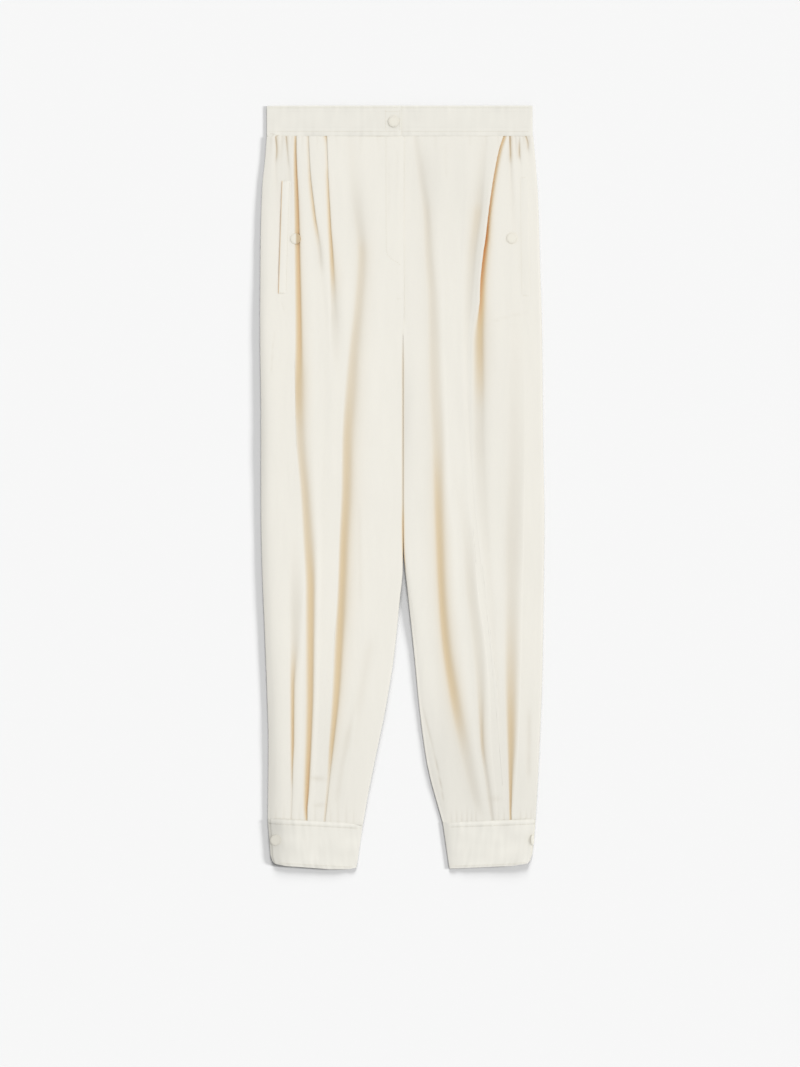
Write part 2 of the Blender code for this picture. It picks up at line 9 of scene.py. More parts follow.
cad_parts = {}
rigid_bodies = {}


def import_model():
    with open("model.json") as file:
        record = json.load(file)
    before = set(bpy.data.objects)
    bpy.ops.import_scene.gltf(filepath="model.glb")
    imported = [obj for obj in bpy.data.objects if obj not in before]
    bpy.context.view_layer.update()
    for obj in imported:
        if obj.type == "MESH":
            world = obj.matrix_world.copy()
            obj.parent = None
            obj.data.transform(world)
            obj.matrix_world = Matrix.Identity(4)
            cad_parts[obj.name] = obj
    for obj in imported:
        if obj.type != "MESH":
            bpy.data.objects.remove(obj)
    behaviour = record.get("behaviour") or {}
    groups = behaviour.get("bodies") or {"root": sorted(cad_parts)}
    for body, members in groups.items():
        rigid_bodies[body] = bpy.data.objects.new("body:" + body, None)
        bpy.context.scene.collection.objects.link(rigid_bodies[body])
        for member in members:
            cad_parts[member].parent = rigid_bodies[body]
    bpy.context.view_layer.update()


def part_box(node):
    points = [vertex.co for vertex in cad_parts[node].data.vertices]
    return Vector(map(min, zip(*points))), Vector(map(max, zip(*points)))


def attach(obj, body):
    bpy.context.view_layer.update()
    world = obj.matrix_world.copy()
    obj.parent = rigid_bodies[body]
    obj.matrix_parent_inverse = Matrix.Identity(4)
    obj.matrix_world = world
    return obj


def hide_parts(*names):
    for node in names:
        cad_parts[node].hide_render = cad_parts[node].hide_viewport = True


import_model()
print("frame loaded")

# Ivory pleated trousers with buttoned cuffs, laid flat on their back.
# Table lengths are millimetres: "down" from the top of the waistband, "across" from the centre line.
mm = 0.001
sideSign = {"right": -1, "left": 1}  # the wearer's right is at negative X

garment = {
    "length": 1031.0,
    "bandDepth": 42.0,
    "cuffSeam": 964.5,  # where the legs end
    "cuffGap": 0.3,  # from there to the cuffs
    "cuffSlant": {"right": 5.2, "left": 3.6},  # how far that seam drops towards the inside leg
    "slantSpan": (880.0, 150.0, 95.0),  # from where down and across the leg it drops, and over what width
    "wall": 0.8,
    "backLevel": 0.5,  # middle of the back's cloth over the floor
    "frontFloor": 1.8,  # the lowest that the front's cloth reaches
    "sideSeam": 2.1,
    "seamDip": {"right": 0.4, "left": 0.0},  # how much lower that seam lies near the waistband
    "dipEnds": (150.0, 70.0),  # how far down, and over what length before that
    "seamGap": 0.12,
    "relief": {"tucked": 0.8, "soft": 1.3, "rise": 0.65},
    "crownReach": 11.0,
    "turnedFolds": ("outerCuffTuck", "middleCuffTuck", "innerDrape"),  # on the left, brow outwards
    "innerRoll": {"right": ((3.0, 0), (0.6, 0)), "left": ((10.0, 8.0), (3.2, 4.6))},  # upper leg, more below
    "rollGrows": (660.0, 80.0),  # from where down, and over what length
}

# Side edge of each leg: down, across, roll (how far in the cloth rounds over to the edge)
outerEdge = {
    "right": [
        (42, 183.9, 14), (75, 186.3, 18), (110, 189.9, 18), (200, 192.4, 16), (310, 192.8, 14), (420, 191.6, 14),
        (530, 191.6, 15), (620, 190.2, 15), (700, 187, 15), (780, 183.9, 16), (860, 181.6, 18), (965, 182.4, 14),
    ],
    "left": [
        (42, 175.6, 3), (75, 178.8, 3), (135, 182.7, 3.5), (200, 184.6, 3.5), (310, 187.8, 3.5), (460, 189.2, 3.5),
        (560, 191, 3.5), (640, 190, 3.5), (764, 188.2, 3.5), (860, 184.6, 3.5), (965, 179.2, 3),
    ],
}

# Centre front, then inside leg: down, across, level of the cloth's edge, rolled (0 flat, 1 rounded over)
innerEdge = {
    "right": [
        (42, -1.35, 5.25, 0), (90, -1.35, 5.7, 0), (150, -1.35, 6.5, 0), (285, -1.35, 7.2, 0), (312, 0.1, 6.8, 0),
        (360, 0.12, 6.3, 0.2), (560, 0.12, 5.6, 0.35), (600, 0.12, 4.6, 0.6), (628, 0.4, 4.2, 1), (665, 4, 3.9, 1),
        (742, 12, 2.8, 1), (816, 23.8, 1.9, 1), (857, 32.2, 1.8, 1), (886, 38.2, 1.8, 1), (910, 43.2, 1.8, 1),
        (930, 47.4, 1.8, 1), (965, 54, 2, 1),
    ],
    "left": [
        (42, -4, 4.3, 0), (90, -4, 4.75, 0), (150, -4, 5.55, 0), (285, -4, 6.25, 0), (312, 0.1, 6.8, 0),
        (360, 0.12, 6.3, 0.2), (560, 0.15, 5.6, 0.35), (585, 0.3, 4.8, 0.6), (604, 0.8, 4.2, 0.9), (628, 2.9, 4, 1),
        (665, 7, 3.2, 1), (742, 15.2, 2, 1), (816, 22.3, 1.5, 1), (886, 32, 1.5, 1), (910, 37.3, 1.5, 1),
        (930, 43, 1.5, 1), (965, 53.6, 1.7, 1),
    ],
}

# Flat cloth between the folds: down, level
flatLevel = [(42, 4.9), (90, 5.5), (150, 6.3), (300, 7), (700, 7), (900, 6), (965, 4.9)]

# Folds from the side inwards: down, across, half the width, tuck (how far cloth runs in under the fold), depth
# below the flat cloth, and how far the cloth stands up at the outer and the inner side. Zeros at the end are left out.
rightFolds = {
    "sideGather": [
        (42, 171.8, 1.2, 0, 1.7, 0.1, 0.2), (62, 170.2, 1.3, 0, 1.4, 0.2, 0.2), (84, 171.4, 2.4, 0, 0.6, 0.2, 0.1),
        (160, 169, 4), (965, 162, 4)],
    "outerCuffTuck": [
        (42, 157.6, 1.2, 0, 1.5, 0.1, 0.2), (66, 155.6, 1.3, 0, 0.9, 0.2, 0.2), (104, 153, 3.4, 0, 0.4, 0.2, 0.3),
        (150, 153, 4), (560, 148, 6), (655, 144.5, 9, 0, 0.9, 0.4, 0.5), (722, 145.8, 6.5, 0, 1.8, 0.6, 1),
        (790, 148.3, 3.6, 0.5, 2.6, 0.6, 2), (857, 148.2, 3, 0.8, 2.9, 0.4, 2), (900, 149.2, 1.8, 1, 2, 0.3, 1.4),
        (925, 149.6, 1.5, 0.6, 0.8, 0.2, 1), (965, 151, 1.5, 0.6, 0.7, 0.1, 0.6)],
    "mainPleat": [
        (42, 144.8, 1.1, 3.5, 2.4, 0, 0.8), (61, 144.4, 2, 2.4, 2.9, 0.2, 1.3), (101, 142.6, 4, 1.4, 3.3, 0.4, 2),
        (148, 141.2, 4.8, 1.1, 3.4, 0.6, 2.3), (202, 140.2, 5.4, 1, 3.3, 0.8, 2.5),
        (324, 138.6, 6.6, 0.7, 3.1, 1, 2.6), (385, 139.8, 7.5, 0, 2.8, 1.2, 2.4), (452, 137.6, 7.2, 0, 2.3, 1.4, 2.3),
        (520, 131.8, 6.8, 0, 2.4, 1.5, 2.4), (587, 127.3, 7.4, 0, 2.5, 1.6, 2.6), (655, 123.2, 8, 0.5, 2.7, 1.6, 2.8),
        (790, 123.6, 6.8, 0.7, 2.8, 1.4, 2.8), (857, 125.4, 5.9, 0.8, 3, 1.2, 2.6), (925, 128.2, 4.9, 1, 3.3, 0.7, 2),
        (950, 129.2, 3.4, 1.6, 3.2, 0.3, 1.3), (965, 129.4, 1.8, 2.5, 2.4, 0.1, 0.9)],
    "secondPleat": [
        (42, 128.5, 1, 3, 1.5, 0, 0.4), (76, 126.9, 1.1, 3, 1.7, 0.1, 0.8), (101, 124.6, 2.4, 2, 2.1, 0.2, 1.2),
        (148, 118.6, 3.2, 1.6, 2.3, 0.4, 1.6), (202, 111.8, 3.4, 0, 1.5, 0.3, 1), (236, 108.6, 4, 0, 0.3, 0.1, 0.2),
        (324, 101.8, 3, 0, 0.1, 0, 0.1), (385, 105.3, 3, 0, 0.1, 0, 0.1), (655, 107.3, 3, 0, 0.1, 0, 0.1),
        (790, 110, 3), (965, 117.5, 2.4)],
    "thirdPleat": [
        (42, 104.2, 1.4, 4, 2.4, 0, 0.6), (58, 103.4, 1, 3, 1.5, 0, 0.5), (78, 102.5, 1.1, 3, 1.6, 0.1, 0.7),
        (95, 101.6, 1.8, 2, 2.1, 0.2, 1.1), (148, 98.6, 2.6, 1.8, 2.4, 0.4, 1.7), (202, 95.2, 3.8, 1, 2.6, 0.5, 2.1),
        (263, 92.8, 5, 0, 1.9, 0.4, 1.7), (310, 90.8, 7, 0, 0.7, 0.2, 0.6), (385, 88.5, 5), (655, 94, 4),
        (965, 111.6, 2.2)],
    "innerDrape": [
        (42, 70, 9, 0, 0.3, 0.1, 0.1), (101, 64.8, 9, 0, 0.6, 0.3, 0.3), (148, 60, 8.5, 0, 1.2, 0.5, 0.8),
        (202, 55, 7, 0, 2.1, 0.8, 1.5), (263, 58.4, 7.5, 0, 2.1, 0.9, 1.5), (324, 64.6, 8, 0, 2.2, 1, 1.7),
        (385, 69.3, 9, 0, 2.3, 1.2, 1.9), (452, 74, 8.5, 0, 2.5, 1.4, 2.2), (520, 75.4, 8, 0, 2.6, 1.5, 2.5),
        (587, 78.8, 7.5, 0, 2.8, 1.7, 2.9), (655, 81.4, 7, 0, 3, 1.8, 3.3), (722, 84.4, 7.8, 0.4, 2.8, 1.7, 3),
        (790, 88, 7.1, 0.6, 2.7, 1.5, 2.8), (857, 94.3, 5, 0.8, 2.7, 1, 2.2), (925, 101.2, 2.2, 1, 1.6, 0.3, 1),
        (965, 105.6, 1.5, 1.2, 1.4, 0.1, 0.6)],
}
leftFolds = {
    "sideGather": [
        (42, 165.6, 1.2, 0, 1.6, 0.1, 0.2), (54, 168.4, 1.3, 0, 1.2, 0.1, 0.1), (72, 168.5, 3, 0, 0.2), (140, 173, 4),
        (700, 177, 3), (965, 168, 2.5)],
    "pocketGather": [
        (42, 156.6, 1.4, 0, 0.5, 0.1, 0.1), (63, 156.8, 1.3, 0, 1.4, 0.1, 0.2), (84, 157.8, 3, 0, 0.2), (150, 161, 4),
        (460, 168.5, 3), (700, 167, 2.5), (965, 158, 2.5)],
    "outerCuffTuck": [
        (42, 144.2, 1.2, 0, 2.4, 0.4, 0.2), (60, 144.8, 1.4, 0, 1.9, 0.4, 0.2), (90, 145.6, 2.6, 0, 0.7, 0.3, 0.2),
        (148, 148, 4, 0, 0.3, 0.1, 0.1), (200, 151, 5), (330, 152, 10, 0, 0.3), (460, 151.5, 12, 0, 0.7, 0.2, 0.2),
        (587, 148, 12, 0, 1.3, 0.6, 0.7), (655, 147, 10, 0, 1.7, 0.9, 1.2), (790, 146, 8, 0, 2.4, 1.1, 1.8),
        (857, 146.2, 6, 0, 2.8, 1.1, 2.2), (925, 145.6, 2.8, 0.5, 2.8, 0.6, 1.7), (965, 146, 1.7, 2, 2.6, 0.1, 0.9)],
    "mainPleat": [
        (42, 137.6, 1.5, 6.5, 2.8, 0, 1.1), (61, 131.2, 1.7, 6.5, 3, 0.2, 1.8), (101, 122.8, 1.9, 6, 3.6, 0.4, 2.6),
        (148, 115.8, 2.2, 5, 4.6, 0.5, 3), (182, 111.8, 3.4, 4.5, 5.8, 0.6, 3.2),
        (202, 108.6, 4.8, 3.6, 5.3, 0.6, 3.2), (240, 104.6, 6.4, 2.4, 4.3, 0.8, 3),
        (263, 103.8, 6.8, 1.6, 3.6, 0.8, 3), (324, 103, 7.4, 0, 2.8, 0.8, 2.6), (385, 103.2, 8, 0, 2.2, 0.7, 1.9),
        (452, 103, 8.6, 0, 1.3, 0.5, 1), (520, 106, 9, 0, 0.7, 0.1, 0.2), (600, 112, 7, 0, 0.5), (965, 140.5, 1.8)],
    "kneeCrease": [
        (42, 110, 5, 0, 0.3, 0.1, 0.1), (101, 104.4, 7, 0, 0.9, 0.3, 0.4), (148, 100, 7, 0, 2.1, 0.7, 0.9),
        (202, 93, 7, 0, 1.9, 0.7, 0.6), (263, 88.6, 6, 0, 1, 0.4, 0.2), (324, 85.2, 4, 0, 0.4, 0.4),
        (385, 85.7, 3, 0, 0.15, 0.4), (520, 93, 3, 0, 0.15, 0.4), (655, 107, 3.6, 0, 0.2, 0.4),
        (722, 116.4, 3.2, 0, 0.1, 0.2), (790, 125, 2.6, 0, 0.1, 0.1), (965, 134.5, 1.8)],
    "middleCuffTuck": [
        (42, 62, 6), (450, 70, 8), (520, 76, 8, 0, 0.2, 0.1, 0.1), (587, 87, 8, 0, 0.7, 0.5, 0.4),
        (655, 91.5, 8, 0, 1.4, 1.2, 0.6), (722, 100, 8, 0, 1.5, 1.2, 0.6), (790, 105, 6, 0, 1.9, 1.6, 0.6),
        (857, 107, 3.2, 0, 2.3, 1.8, 0.5), (925, 115.8, 3.4, 0, 1.4, 1.1, 0.3), (965, 121, 2.4, 0, 1.2, 0.6, 0.2)],
    "innerDrape": [
        (42, 17, 5, 0, 0.6, 0.1, 0.2), (101, 26.3, 6.5, 0, 1.2, 0.5, 0.7), (148, 32.4, 6, 0, 1.9, 0.7, 1.1),
        (202, 35.1, 6.5, 0, 1.9, 0.7, 1.1), (263, 39.8, 7.5, 0, 1.9, 0.7, 1.2), (385, 43.2, 9, 0, 2, 0.8, 1.3),
        (452, 46.6, 9, 0, 2.1, 0.9, 1.5), (520, 47.9, 8, 0, 2.5, 1.2, 1.9), (587, 50, 7.5, 0, 2.8, 1.5, 2.5),
        (655, 52.7, 7.2, 0, 3, 1.7, 3), (722, 58, 7.5, 0, 3, 1.7, 3), (790, 68.2, 8.5, 0, 2.75, 1.5, 2.4),
        (857, 81, 9, 0, 2.1, 1, 1.4), (925, 96, 7.5, 0, 1.3, 0.3, 0.4), (965, 107, 4, 0, 0.1)],
}
folds = {"right": rightFolds, "left": leftFolds}

# Fine creases pressed into the fronts: half the trough's width, depth (below 0 a ridge), path (down, across)
creases = {
    "right": [
        (1.3, 1.1, [(100, 163.6), (178, 165.9), (258, 168.5)]),
        (3, 0.25, [(520, 59.5), (600, 58.5), (690, 57)]),
        (1.6, 0.35, [(300, 173), (330, 176), (372, 178.5)]),
        (1.2, 0.3, [(256, 167.5), (268, 164), (283, 158), (276, 152)]),
        (5, -0.5, [(345, 95), (430, 97), (560, 96)]),
        (5, -0.4, [(60, 92), (120, 82), (175, 76)]),
        (7, 0.35, [(700, 40), (800, 58), (900, 80)]),
        (4, 0.4, [(820, 70), (890, 82), (955, 92)]),
        (3.5, -0.35, [(800, 60), (880, 72), (950, 80)]),
        (2, 0.18, [(60, 20), (120, 19), (170, 20)]),
        (2, 0.15, [(48, 8), (90, 8.5), (130, 8)]),
    ],
    "left": [
        (1.3, 0.95, [(779, 21), (813, 26.4), (849, 35.4), (886, 44.6), (923, 52.2), (962, 57.8)]),
        (1.5, 0.3, [(288, 177), (281, 166), (284, 150), (290, 128), (296, 112)]),
        (4, -0.35, [(230, 82), (300, 79.5), (400, 81), (520, 88), (620, 96)]),
        (3.5, -0.45, [(700, 90), (780, 97), (850, 100)]),
        (3.5, 0.45, [(800, 170), (860, 169.5), (925, 169)]),
        (2.5, 0.15, [(150, 158), (210, 157.5), (240, 157)]),
        (2.5, 0.15, [(45, 58), (75, 57), (105, 58)]),
    ],
}

# Small gathers at the waistband and the cuffs: across, reach along the leg, width, depth
gathers = {
    "waist": {
        "right": [
            (178, 36, 1.8, 0.5), (163, 48, 2, 0.7), (150, 30, 1.6, 0.5), (136, 34, 1.6, 0.3), (116, 28, 1.8, 0.25),
            (90, 22, 2, 0.15), (58, 30, 2.6, 0.2), (34, 30, 2.6, 0.2),
        ],
        "left": [
            (170, 34, 1.6, 0.5), (162, 26, 1.4, 0.5), (151.5, 40, 1.6, 0.6), (128, 30, 1.8, 0.3), (112, 22, 1.8, 0.2),
            (90, 24, 2.2, 0.2), (44, 30, 2.2, 0.2),
        ],
    },
    "cuff": {
        "right": [
            (172, 22, 1.8, 0.5), (161, 30, 1.8, 0.4), (140, 26, 1.8, 0.45), (119, 34, 1.8, 0.4), (98, 22, 1.6, 0.5),
            (88, 40, 2, 0.5), (77, 30, 1.8, 0.5), (67, 24, 1.6, 0.45),
        ],
        "left": [
            (172, 20, 1.5, 0.6), (166, 16, 1.5, 0.6), (158, 20, 1.5, 0.6), (136, 20, 1.6, 0.5), (128, 18, 1.6, 0.5),
            (98, 22, 1.5, 0.7), (92, 20, 1.4, 0.7), (86, 24, 1.4, 0.8), (79, 20, 1.4, 0.8), (72, 24, 1.5, 0.7),
            (65, 20, 1.5, 0.5),
        ],
    },
}
# How they fan out from across 100, the share of their depth, and the ridge beside each
gatherShape = {"waist": (0.0006, 1.0, 0.3), "cuff": (0, 0.7, 0.2)}

# Short dents across a leg: down, across, length across, height along the leg, turn in degrees, depth
dents = {
    "right": [(909, 115, 10, 3.2, -4, 0.7), (944, 113, 8, 3, 6, 0.5), (261, 168, 4, 10, 0, -0.5)],
    "left": [(936, 124, 8, 4, 0, 0.4)],
}

# Soft grey where the cloth turns from the light. Outer edge: down, amount, reach inwards.
outerShade = {
    "right": [(42, 0.3, 8), (300, 0.45, 8), (430, 0.85, 12), (640, 0.85, 12), (790, 1.0, 15), (965, 1.1, 16)],
    "left": [(42, 0.35, 2.5), (400, 0.5, 2.5), (965, 0.5, 4)],
}
# Light that the pale floor throws back on the outer and the inner edge: amounts, and how far in it reaches
edgeGlow = {"right": (0.8, 0.3), "left": (0.2, 0.7), "reach": (2.0, 2.6)}
# Painted shade in soft grey spots: down, across, half length, half width, amount
shadeSpots = {
    "right": [(915, 100, 110, 70, 0.3), (110, 150, 60, 30, 0.25)],
    "left": [(930, 110, 130, 80, 0.45), (915, 48, 110, 16, 0.35), (430, 3, 90, 10, 0.45), (300, 104, 220, 10, 0.2),
             (95, 40, 60, 16, 0.25), (95, 75, 60, 14, 0.2)],
}

sheetDetail = {"frontRows": 276, "frontColumns": 166, "backRows": 120, "backColumns": 60, "samplesPerSpan": 12}


# The columns of a table after its first, each along a smooth curve through its rows
def followTable(table, down):
    width = max(len(row) for row in table)
    table = np.array([[*row, *[0] * (width - len(row))] for row in table], float).T
    at, value = table[0], table[1:]
    step = np.diff(at)
    slope = np.diff(value) / step
    before, after = slope[:, :-1], slope[:, 1:]
    total = np.where(before * after > 0, before + after, 1.0)
    middle = np.where(before * after > 0, 2 * before * after / total, 0.0)
    tangent = np.concatenate([slope[:, :1], middle, slope[:, -1:]], 1)
    down = np.clip(down, at[0], at[-1])
    i = np.clip(np.searchsorted(at, down, side="right") - 1, 0, len(step) - 1)
    t = (down - at[i]) / step[i]
    return ((2 * t**3 - 3 * t**2 + 1) * value[:, i] + (t**3 - 2 * t**2 + t) * step[i] * tangent[:, i]
            + (3 * t**2 - 2 * t**3) * value[:, i + 1] + (t**3 - t**2) * step[i] * tangent[:, i + 1])


def smoothStep(t):
    t = np.clip(t, 0, 1)
    return t * t * (3 - 2 * t)


def bell(away, width):
    return np.exp(-((away / width) ** 2))


# The length of a path, and what gives the points at distances along it
def alongPath(path):
    path = np.array(path, float)
    steps = np.concatenate([[0], np.cumsum(np.linalg.norm(np.diff(path, axis=0), axis=1))])
    return steps[-1], lambda at: np.stack([np.interp(at, steps, path[:, k]) for k in (0, 1)], -1)


# The points of a section, each value a number or one for every row, as guides shaped (rows, guides, values)
def asGuides(points, rows):
    return np.stack([np.stack([value + np.zeros(rows) for value in point], 1) for point in points], 1)


# Cubic B-spline sections through guides, spread by arc length and by guide. Each of the guides' values comes
# out as an array of rows and columns, and the arc length as the last.
def smoothSections(guides, columns):
    guides = np.concatenate([2 * guides[:, :1] - guides[:, 1:2], guides, 2 * guides[:, -1:] - guides[:, -2:-1]], 1)
    spans = guides.shape[1] - 3
    u = np.linspace(0, spans, spans * sheetDetail["samplesPerSpan"] + 1)
    i = np.minimum(u.astype(int), spans - 1)
    t = u - i
    weights = [(1 - t) ** 3 / 6, (3 * t**3 - 6 * t**2 + 4) / 6, (-3 * t**3 + 3 * t**2 + 3 * t + 1) / 6, t**3 / 6]
    curve = sum(w[None, :, None] * guides[:, i + k] for k, w in enumerate(weights))
    step = np.linalg.norm(np.diff(curve[..., :2], axis=1), axis=2)
    arc = np.concatenate([np.zeros((len(curve), 1)), np.cumsum(step, 1)], 1)
    values = np.moveaxis(np.concatenate([curve, arc[..., None]], 2), 2, 0)
    result = np.zeros((len(values), len(curve), columns))
    for row in range(len(curve)):
        pace = 0.62 * arc[row] / arc[row, -1] + 0.38 * u / spans
        for k in range(len(values)):
            result[k, row] = np.interp(np.linspace(0, 1, columns), pace, values[k, row])
    return result


# One fold from its low side to its brow. face: 1 with the brow towards the centre line, -1 away from it. Each guide
# point also carries painted shade for the fold: warm in its hollow, grey in soft and narrow folds.
def foldGuides(fold, flat, face, limit):
    across, half, tuck, depth, outer, inner = fold
    relief = garment["relief"]
    folded = np.clip(tuck / 1.5, 0, 1)
    soft = 1 - folded
    low, high = (outer, inner) if face > 0 else (inner, outer)
    narrow = smoothStep((2.4 - half) / 0.8) * soft
    # painted shade of the fold: warm, more where it is deep, tucked or narrow, and grey in soft and narrow folds
    warm = (0.04 * depth + 0.33 * smoothStep((depth - 1.7) / 1.2) + 0.14 * folded * smoothStep(depth / 2.4)
            + 0.1 * np.maximum(depth - 3.0, 0) + 0.3 * narrow * smoothStep((depth - 0.5) / 1.2))
    dim = smoothStep(depth / 1.3) * (0.5 * soft + 0.45 * narrow)
    depth = depth * (relief["soft"] + folded * (relief["tucked"] - relief["soft"]))
    bottom = np.maximum(flat - depth, garment["frontFloor"])
    top = flat + relief["rise"] * high
    brow = 0.95 * half * soft - 0.6 * folded
    room = np.maximum(face * (across - limit) - brow, 1.0)
    crown = half * soft + np.minimum(garment["crownReach"], 0.4 * room)
    points = [
        (-half - 1.5 * folded, flat + relief["rise"] * low - 0.25 * depth * soft, 0.1 * warm * soft, 0.35 * dim),
        (-0.62 * half - 0.4 * folded, flat - (0.6 + 0.1 * soft) * (flat - bottom), 0.95 * warm, dim),
        (-0.25 * half * soft + 0.55 * tuck, bottom, 1.12 * warm, 1.1 * dim),
        (0.4 * half * soft + tuck, bottom + (0.3 * soft + 0.42 * folded) * (top - bottom), warm, 0.9 * dim),
        (brow, top - soft * 0.12 * (top - bottom) - folded * 0.02, 0.3 * warm * soft, 0.3 * dim),
        (crown, top, 0, 0),
    ]
    return [(across - face * away, *values) for away, *values in points][::face]


def sideSeamLevel(side, down):
    end, length = garment["dipEnds"]
    return garment["sideSeam"] - garment["seamDip"][side] * smoothStep((end - down) / length)


def frontGuides(side, down):
    flat = followTable(flatLevel, down)[0]
    edge, roll = followTable(outerEdge[side], down)
    edge = edge - garment["wall"] / 2
    inner, level, rolled = followTable(innerEdge[side], down)
    seam = sideSeamLevel(side, down) + garment["seamGap"] / 2
    points = [(edge, seam), (edge - 0.07 * roll, seam + 0.45 * (flat - seam)),
              (edge - 0.25 * roll, flat - 0.3 * (flat - seam)), (edge - 0.55 * roll, flat)]
    sideFolds = [followTable(fold, down) for fold in folds[side].values()]
    for k, name in enumerate(folds[side]):
        if side == "left" and name in garment["turnedFolds"]:
            face, limit = -1, sideFolds[k - 1][0] - sideFolds[k - 1][1]
        else:
            face, limit = 1, sum(sideFolds[k + 1][:2]) if k + 1 < len(sideFolds) else inner + 8
        steered = foldGuides(sideFolds[k], flat, face, limit)
        last = points[-1]
        points.append(((last[0] + steered[0][0]) / 2, flat + 0.25 * (last[1] - flat)))
        points += steered
    wallEdge = inner + garment["wall"] / 2
    points.append(((points[-1][0] + inner + 9) / 2, flat))
    start, length = garment["rollGrows"]
    wide, tight = (a + b * smoothStep((down - start) / length) for a, b in garment["innerRoll"][side])
    points += [
        (inner + 5 + rolled * (wide - 5), flat + (1 - rolled) * (level - flat)),
        (inner + 2 + rolled * (tight - 2), level + rolled * (flat - 0.13 * tight - level)),
        (inner + rolled * (wallEdge - inner), level),
    ]
    return asGuides([(*point, 0, 0)[:4] for point in points], len(down))


def backGuides(side, down):
    edge = followTable(outerEdge[side], down)[0] - garment["wall"] / 2
    inner, innerLevel, rolled = followTable(innerEdge[side], down)
    low = garment["backLevel"]
    centre = np.where(down < 220, 0.15, np.maximum(inner, 0.3))
    seam = sideSeamLevel(side, down) - garment["seamGap"] / 2
    wallEdge = centre + np.minimum(1, 5 * rolled) * garment["wall"] / 2
    innerSeam = np.minimum(seam, innerLevel - garment["seamGap"])
    outerSide = [(edge, seam), (edge, 1.3), (edge - 1.6, low), (edge - 5, low)]
    innerSide = [(centre + 5.5, low), (centre + 2.1, low), (wallEdge, low + rolled * 0.8),
                 (wallEdge, low + rolled * (innerSeam - low))]
    reach = innerSide[0][0] - outerSide[-1][0]
    middle = [(outerSide[-1][0] + reach * k / 4, low) for k in range(1, 4)]
    return asGuides(outerSide + middle + innerSide, len(down))


# How far the cuff's seam has dropped at a place across the leg
def seamDrop(side, across):
    _, start, width = garment["slantSpan"]
    return garment["cuffSlant"][side] * (start - across) / width


def slantDown(side, down, across):
    start = garment["slantSpan"][0]
    share = np.clip((down - start) / (garment["cuffSeam"] - start), 0, 1)
    return down + share**2 * seamDrop(side, across)


# ends: share of a crease's length over which it fades. margins: how far its effect reaches down and across.
creaseShape = {"ends": 0.22, "margins": (12, 18), "step": 3}


def creaseHeight(side, across, down):
    ends, margins = creaseShape["ends"], creaseShape["margins"]
    height = np.zeros_like(across)
    for width, depth, path in creases[side]:
        length, pointAt = alongPath(path)
        want = np.linspace(0, length, max(8, int(length / creaseShape["step"])))
        line = pointAt(want)
        near = True
        for value, spots, margin in zip((down, across), line.T, margins):
            near = near & (value > spots.min() - margin) & (value < spots.max() + margin)
        away = np.linalg.norm(np.stack([down[near], across[near]], 1)[:, None] - line[None], axis=2)
        along = want[away.argmin(1)] / want[-1]
        fade = smoothStep(along / ends) * smoothStep((1 - along) / ends)
        height[near] -= depth * bell(away.min(1), width) * (0.25 + 0.75 * fade) * fade
    for place, (spread, trough, ridge) in gatherShape.items():
        fromSeam = down - garment["bandDepth"] if place == "waist" else garment["cuffSeam"] - down
        for middle, reach, width, depth in gathers[place][side]:
            fade = smoothStep(1 - fromSeam / reach)
            lean = across - middle - (middle - 100) * fromSeam * spread
            height -= trough * depth * fade * bell(lean, width)
            height += ridge * depth * fade * bell(lean - 2.4 * width, 1.4 * width)
    for down0, across0, wide, tall, turn, depth in dents[side]:
        a = math.radians(turn)
        x, y = across - across0, down - down0
        height -= depth * bell(x * math.cos(a) + y * math.sin(a), wide) * bell(y * math.cos(a) - x * math.sin(a), tall)
    return height


# Slow unevenness of cloth that was worn, folded and smoothed out by hand. waves: sizes across and down, strength,
# step of the seed.
def unevenness(across, down, seed, waves=((34, 120, 1, 0), (12, 55, 0.45, 9), (5, 17, 0.16, 17))):
    height = np.zeros(across.size)
    for k, (a, d) in enumerate(zip(across.ravel(), down.ravel())):
        height[k] = sum(s * noise.noise(Vector((a / wide, d / tall, seed + step))) for wide, tall, s, step in waves)
    return height.reshape(across.shape)


def addObject(name, data):
    thing = bpy.data.objects.new(name, data)
    bpy.context.scene.collection.objects.link(thing)
    return thing


# weave: coordinates in metres for the cloth's pattern. tones: values for each point that the materials read.
def addMesh(name, points, faces, material, weave=None, tones={}):
    mesh = bpy.data.meshes.new(name)
    mesh.from_pydata(points, [], faces)
    if weave is not None:
        corners = [corner for face in faces for corner in face]
        mesh.uv_layers.new(name="cloth").data.foreach_set("uv", weave[corners].ravel())
    for label, amount in tones.items():
        mesh.attributes.new(label, "FLOAT", "POINT").data.foreach_set("value", amount.ravel())
    mesh.shade_smooth()
    mesh.materials.append(material)
    return addObject(name, mesh)


def addSheet(name, x, along, level, arc, tones, wall, material, flip):
    rows, columns = x.shape
    points = np.stack([x, garment["length"] / 2 - along, level], 2).reshape(-1, 3) * mm
    index = np.arange(rows * columns).reshape(rows, columns)
    faces = np.stack([index[:-1, :-1], index[:-1, 1:], index[1:, 1:], index[1:, :-1]], 2).reshape(-1, 4)
    if flip:
        faces = faces[:, ::-1]
    weave = np.stack([arc.ravel(), along.ravel()], 1) * mm
    piece = addMesh(name, points.tolist(), faces.tolist(), material, weave, tones)
    thick = piece.modifiers.new("clothWall", "SOLIDIFY")
    thick.thickness = wall * mm
    thick.offset = 0
    print(name, "spread out:", round(np.ptp(arc, axis=1).max()), "mm at its widest,", round(np.ptp(along)), "mm long")
    return piece


# Rounds a folded or sewn strip's edges
def softenEdges(piece, width):
    soft = piece.modifiers.new("softEdges", "BEVEL")
    soft.width = width * mm
    soft.segments = 2
    soft.limit_method = "ANGLE"
    soft.angle_limit = math.radians(50)
    return piece


# Each input takes a number, a colour or another node's output
def fillInputs(tree, node, inputs):
    for socket, value in inputs.items():
        if isinstance(value, bpy.types.NodeSocket):
            tree.links.new(value, node.inputs[socket])
        else:
            node.inputs[socket].default_value = value


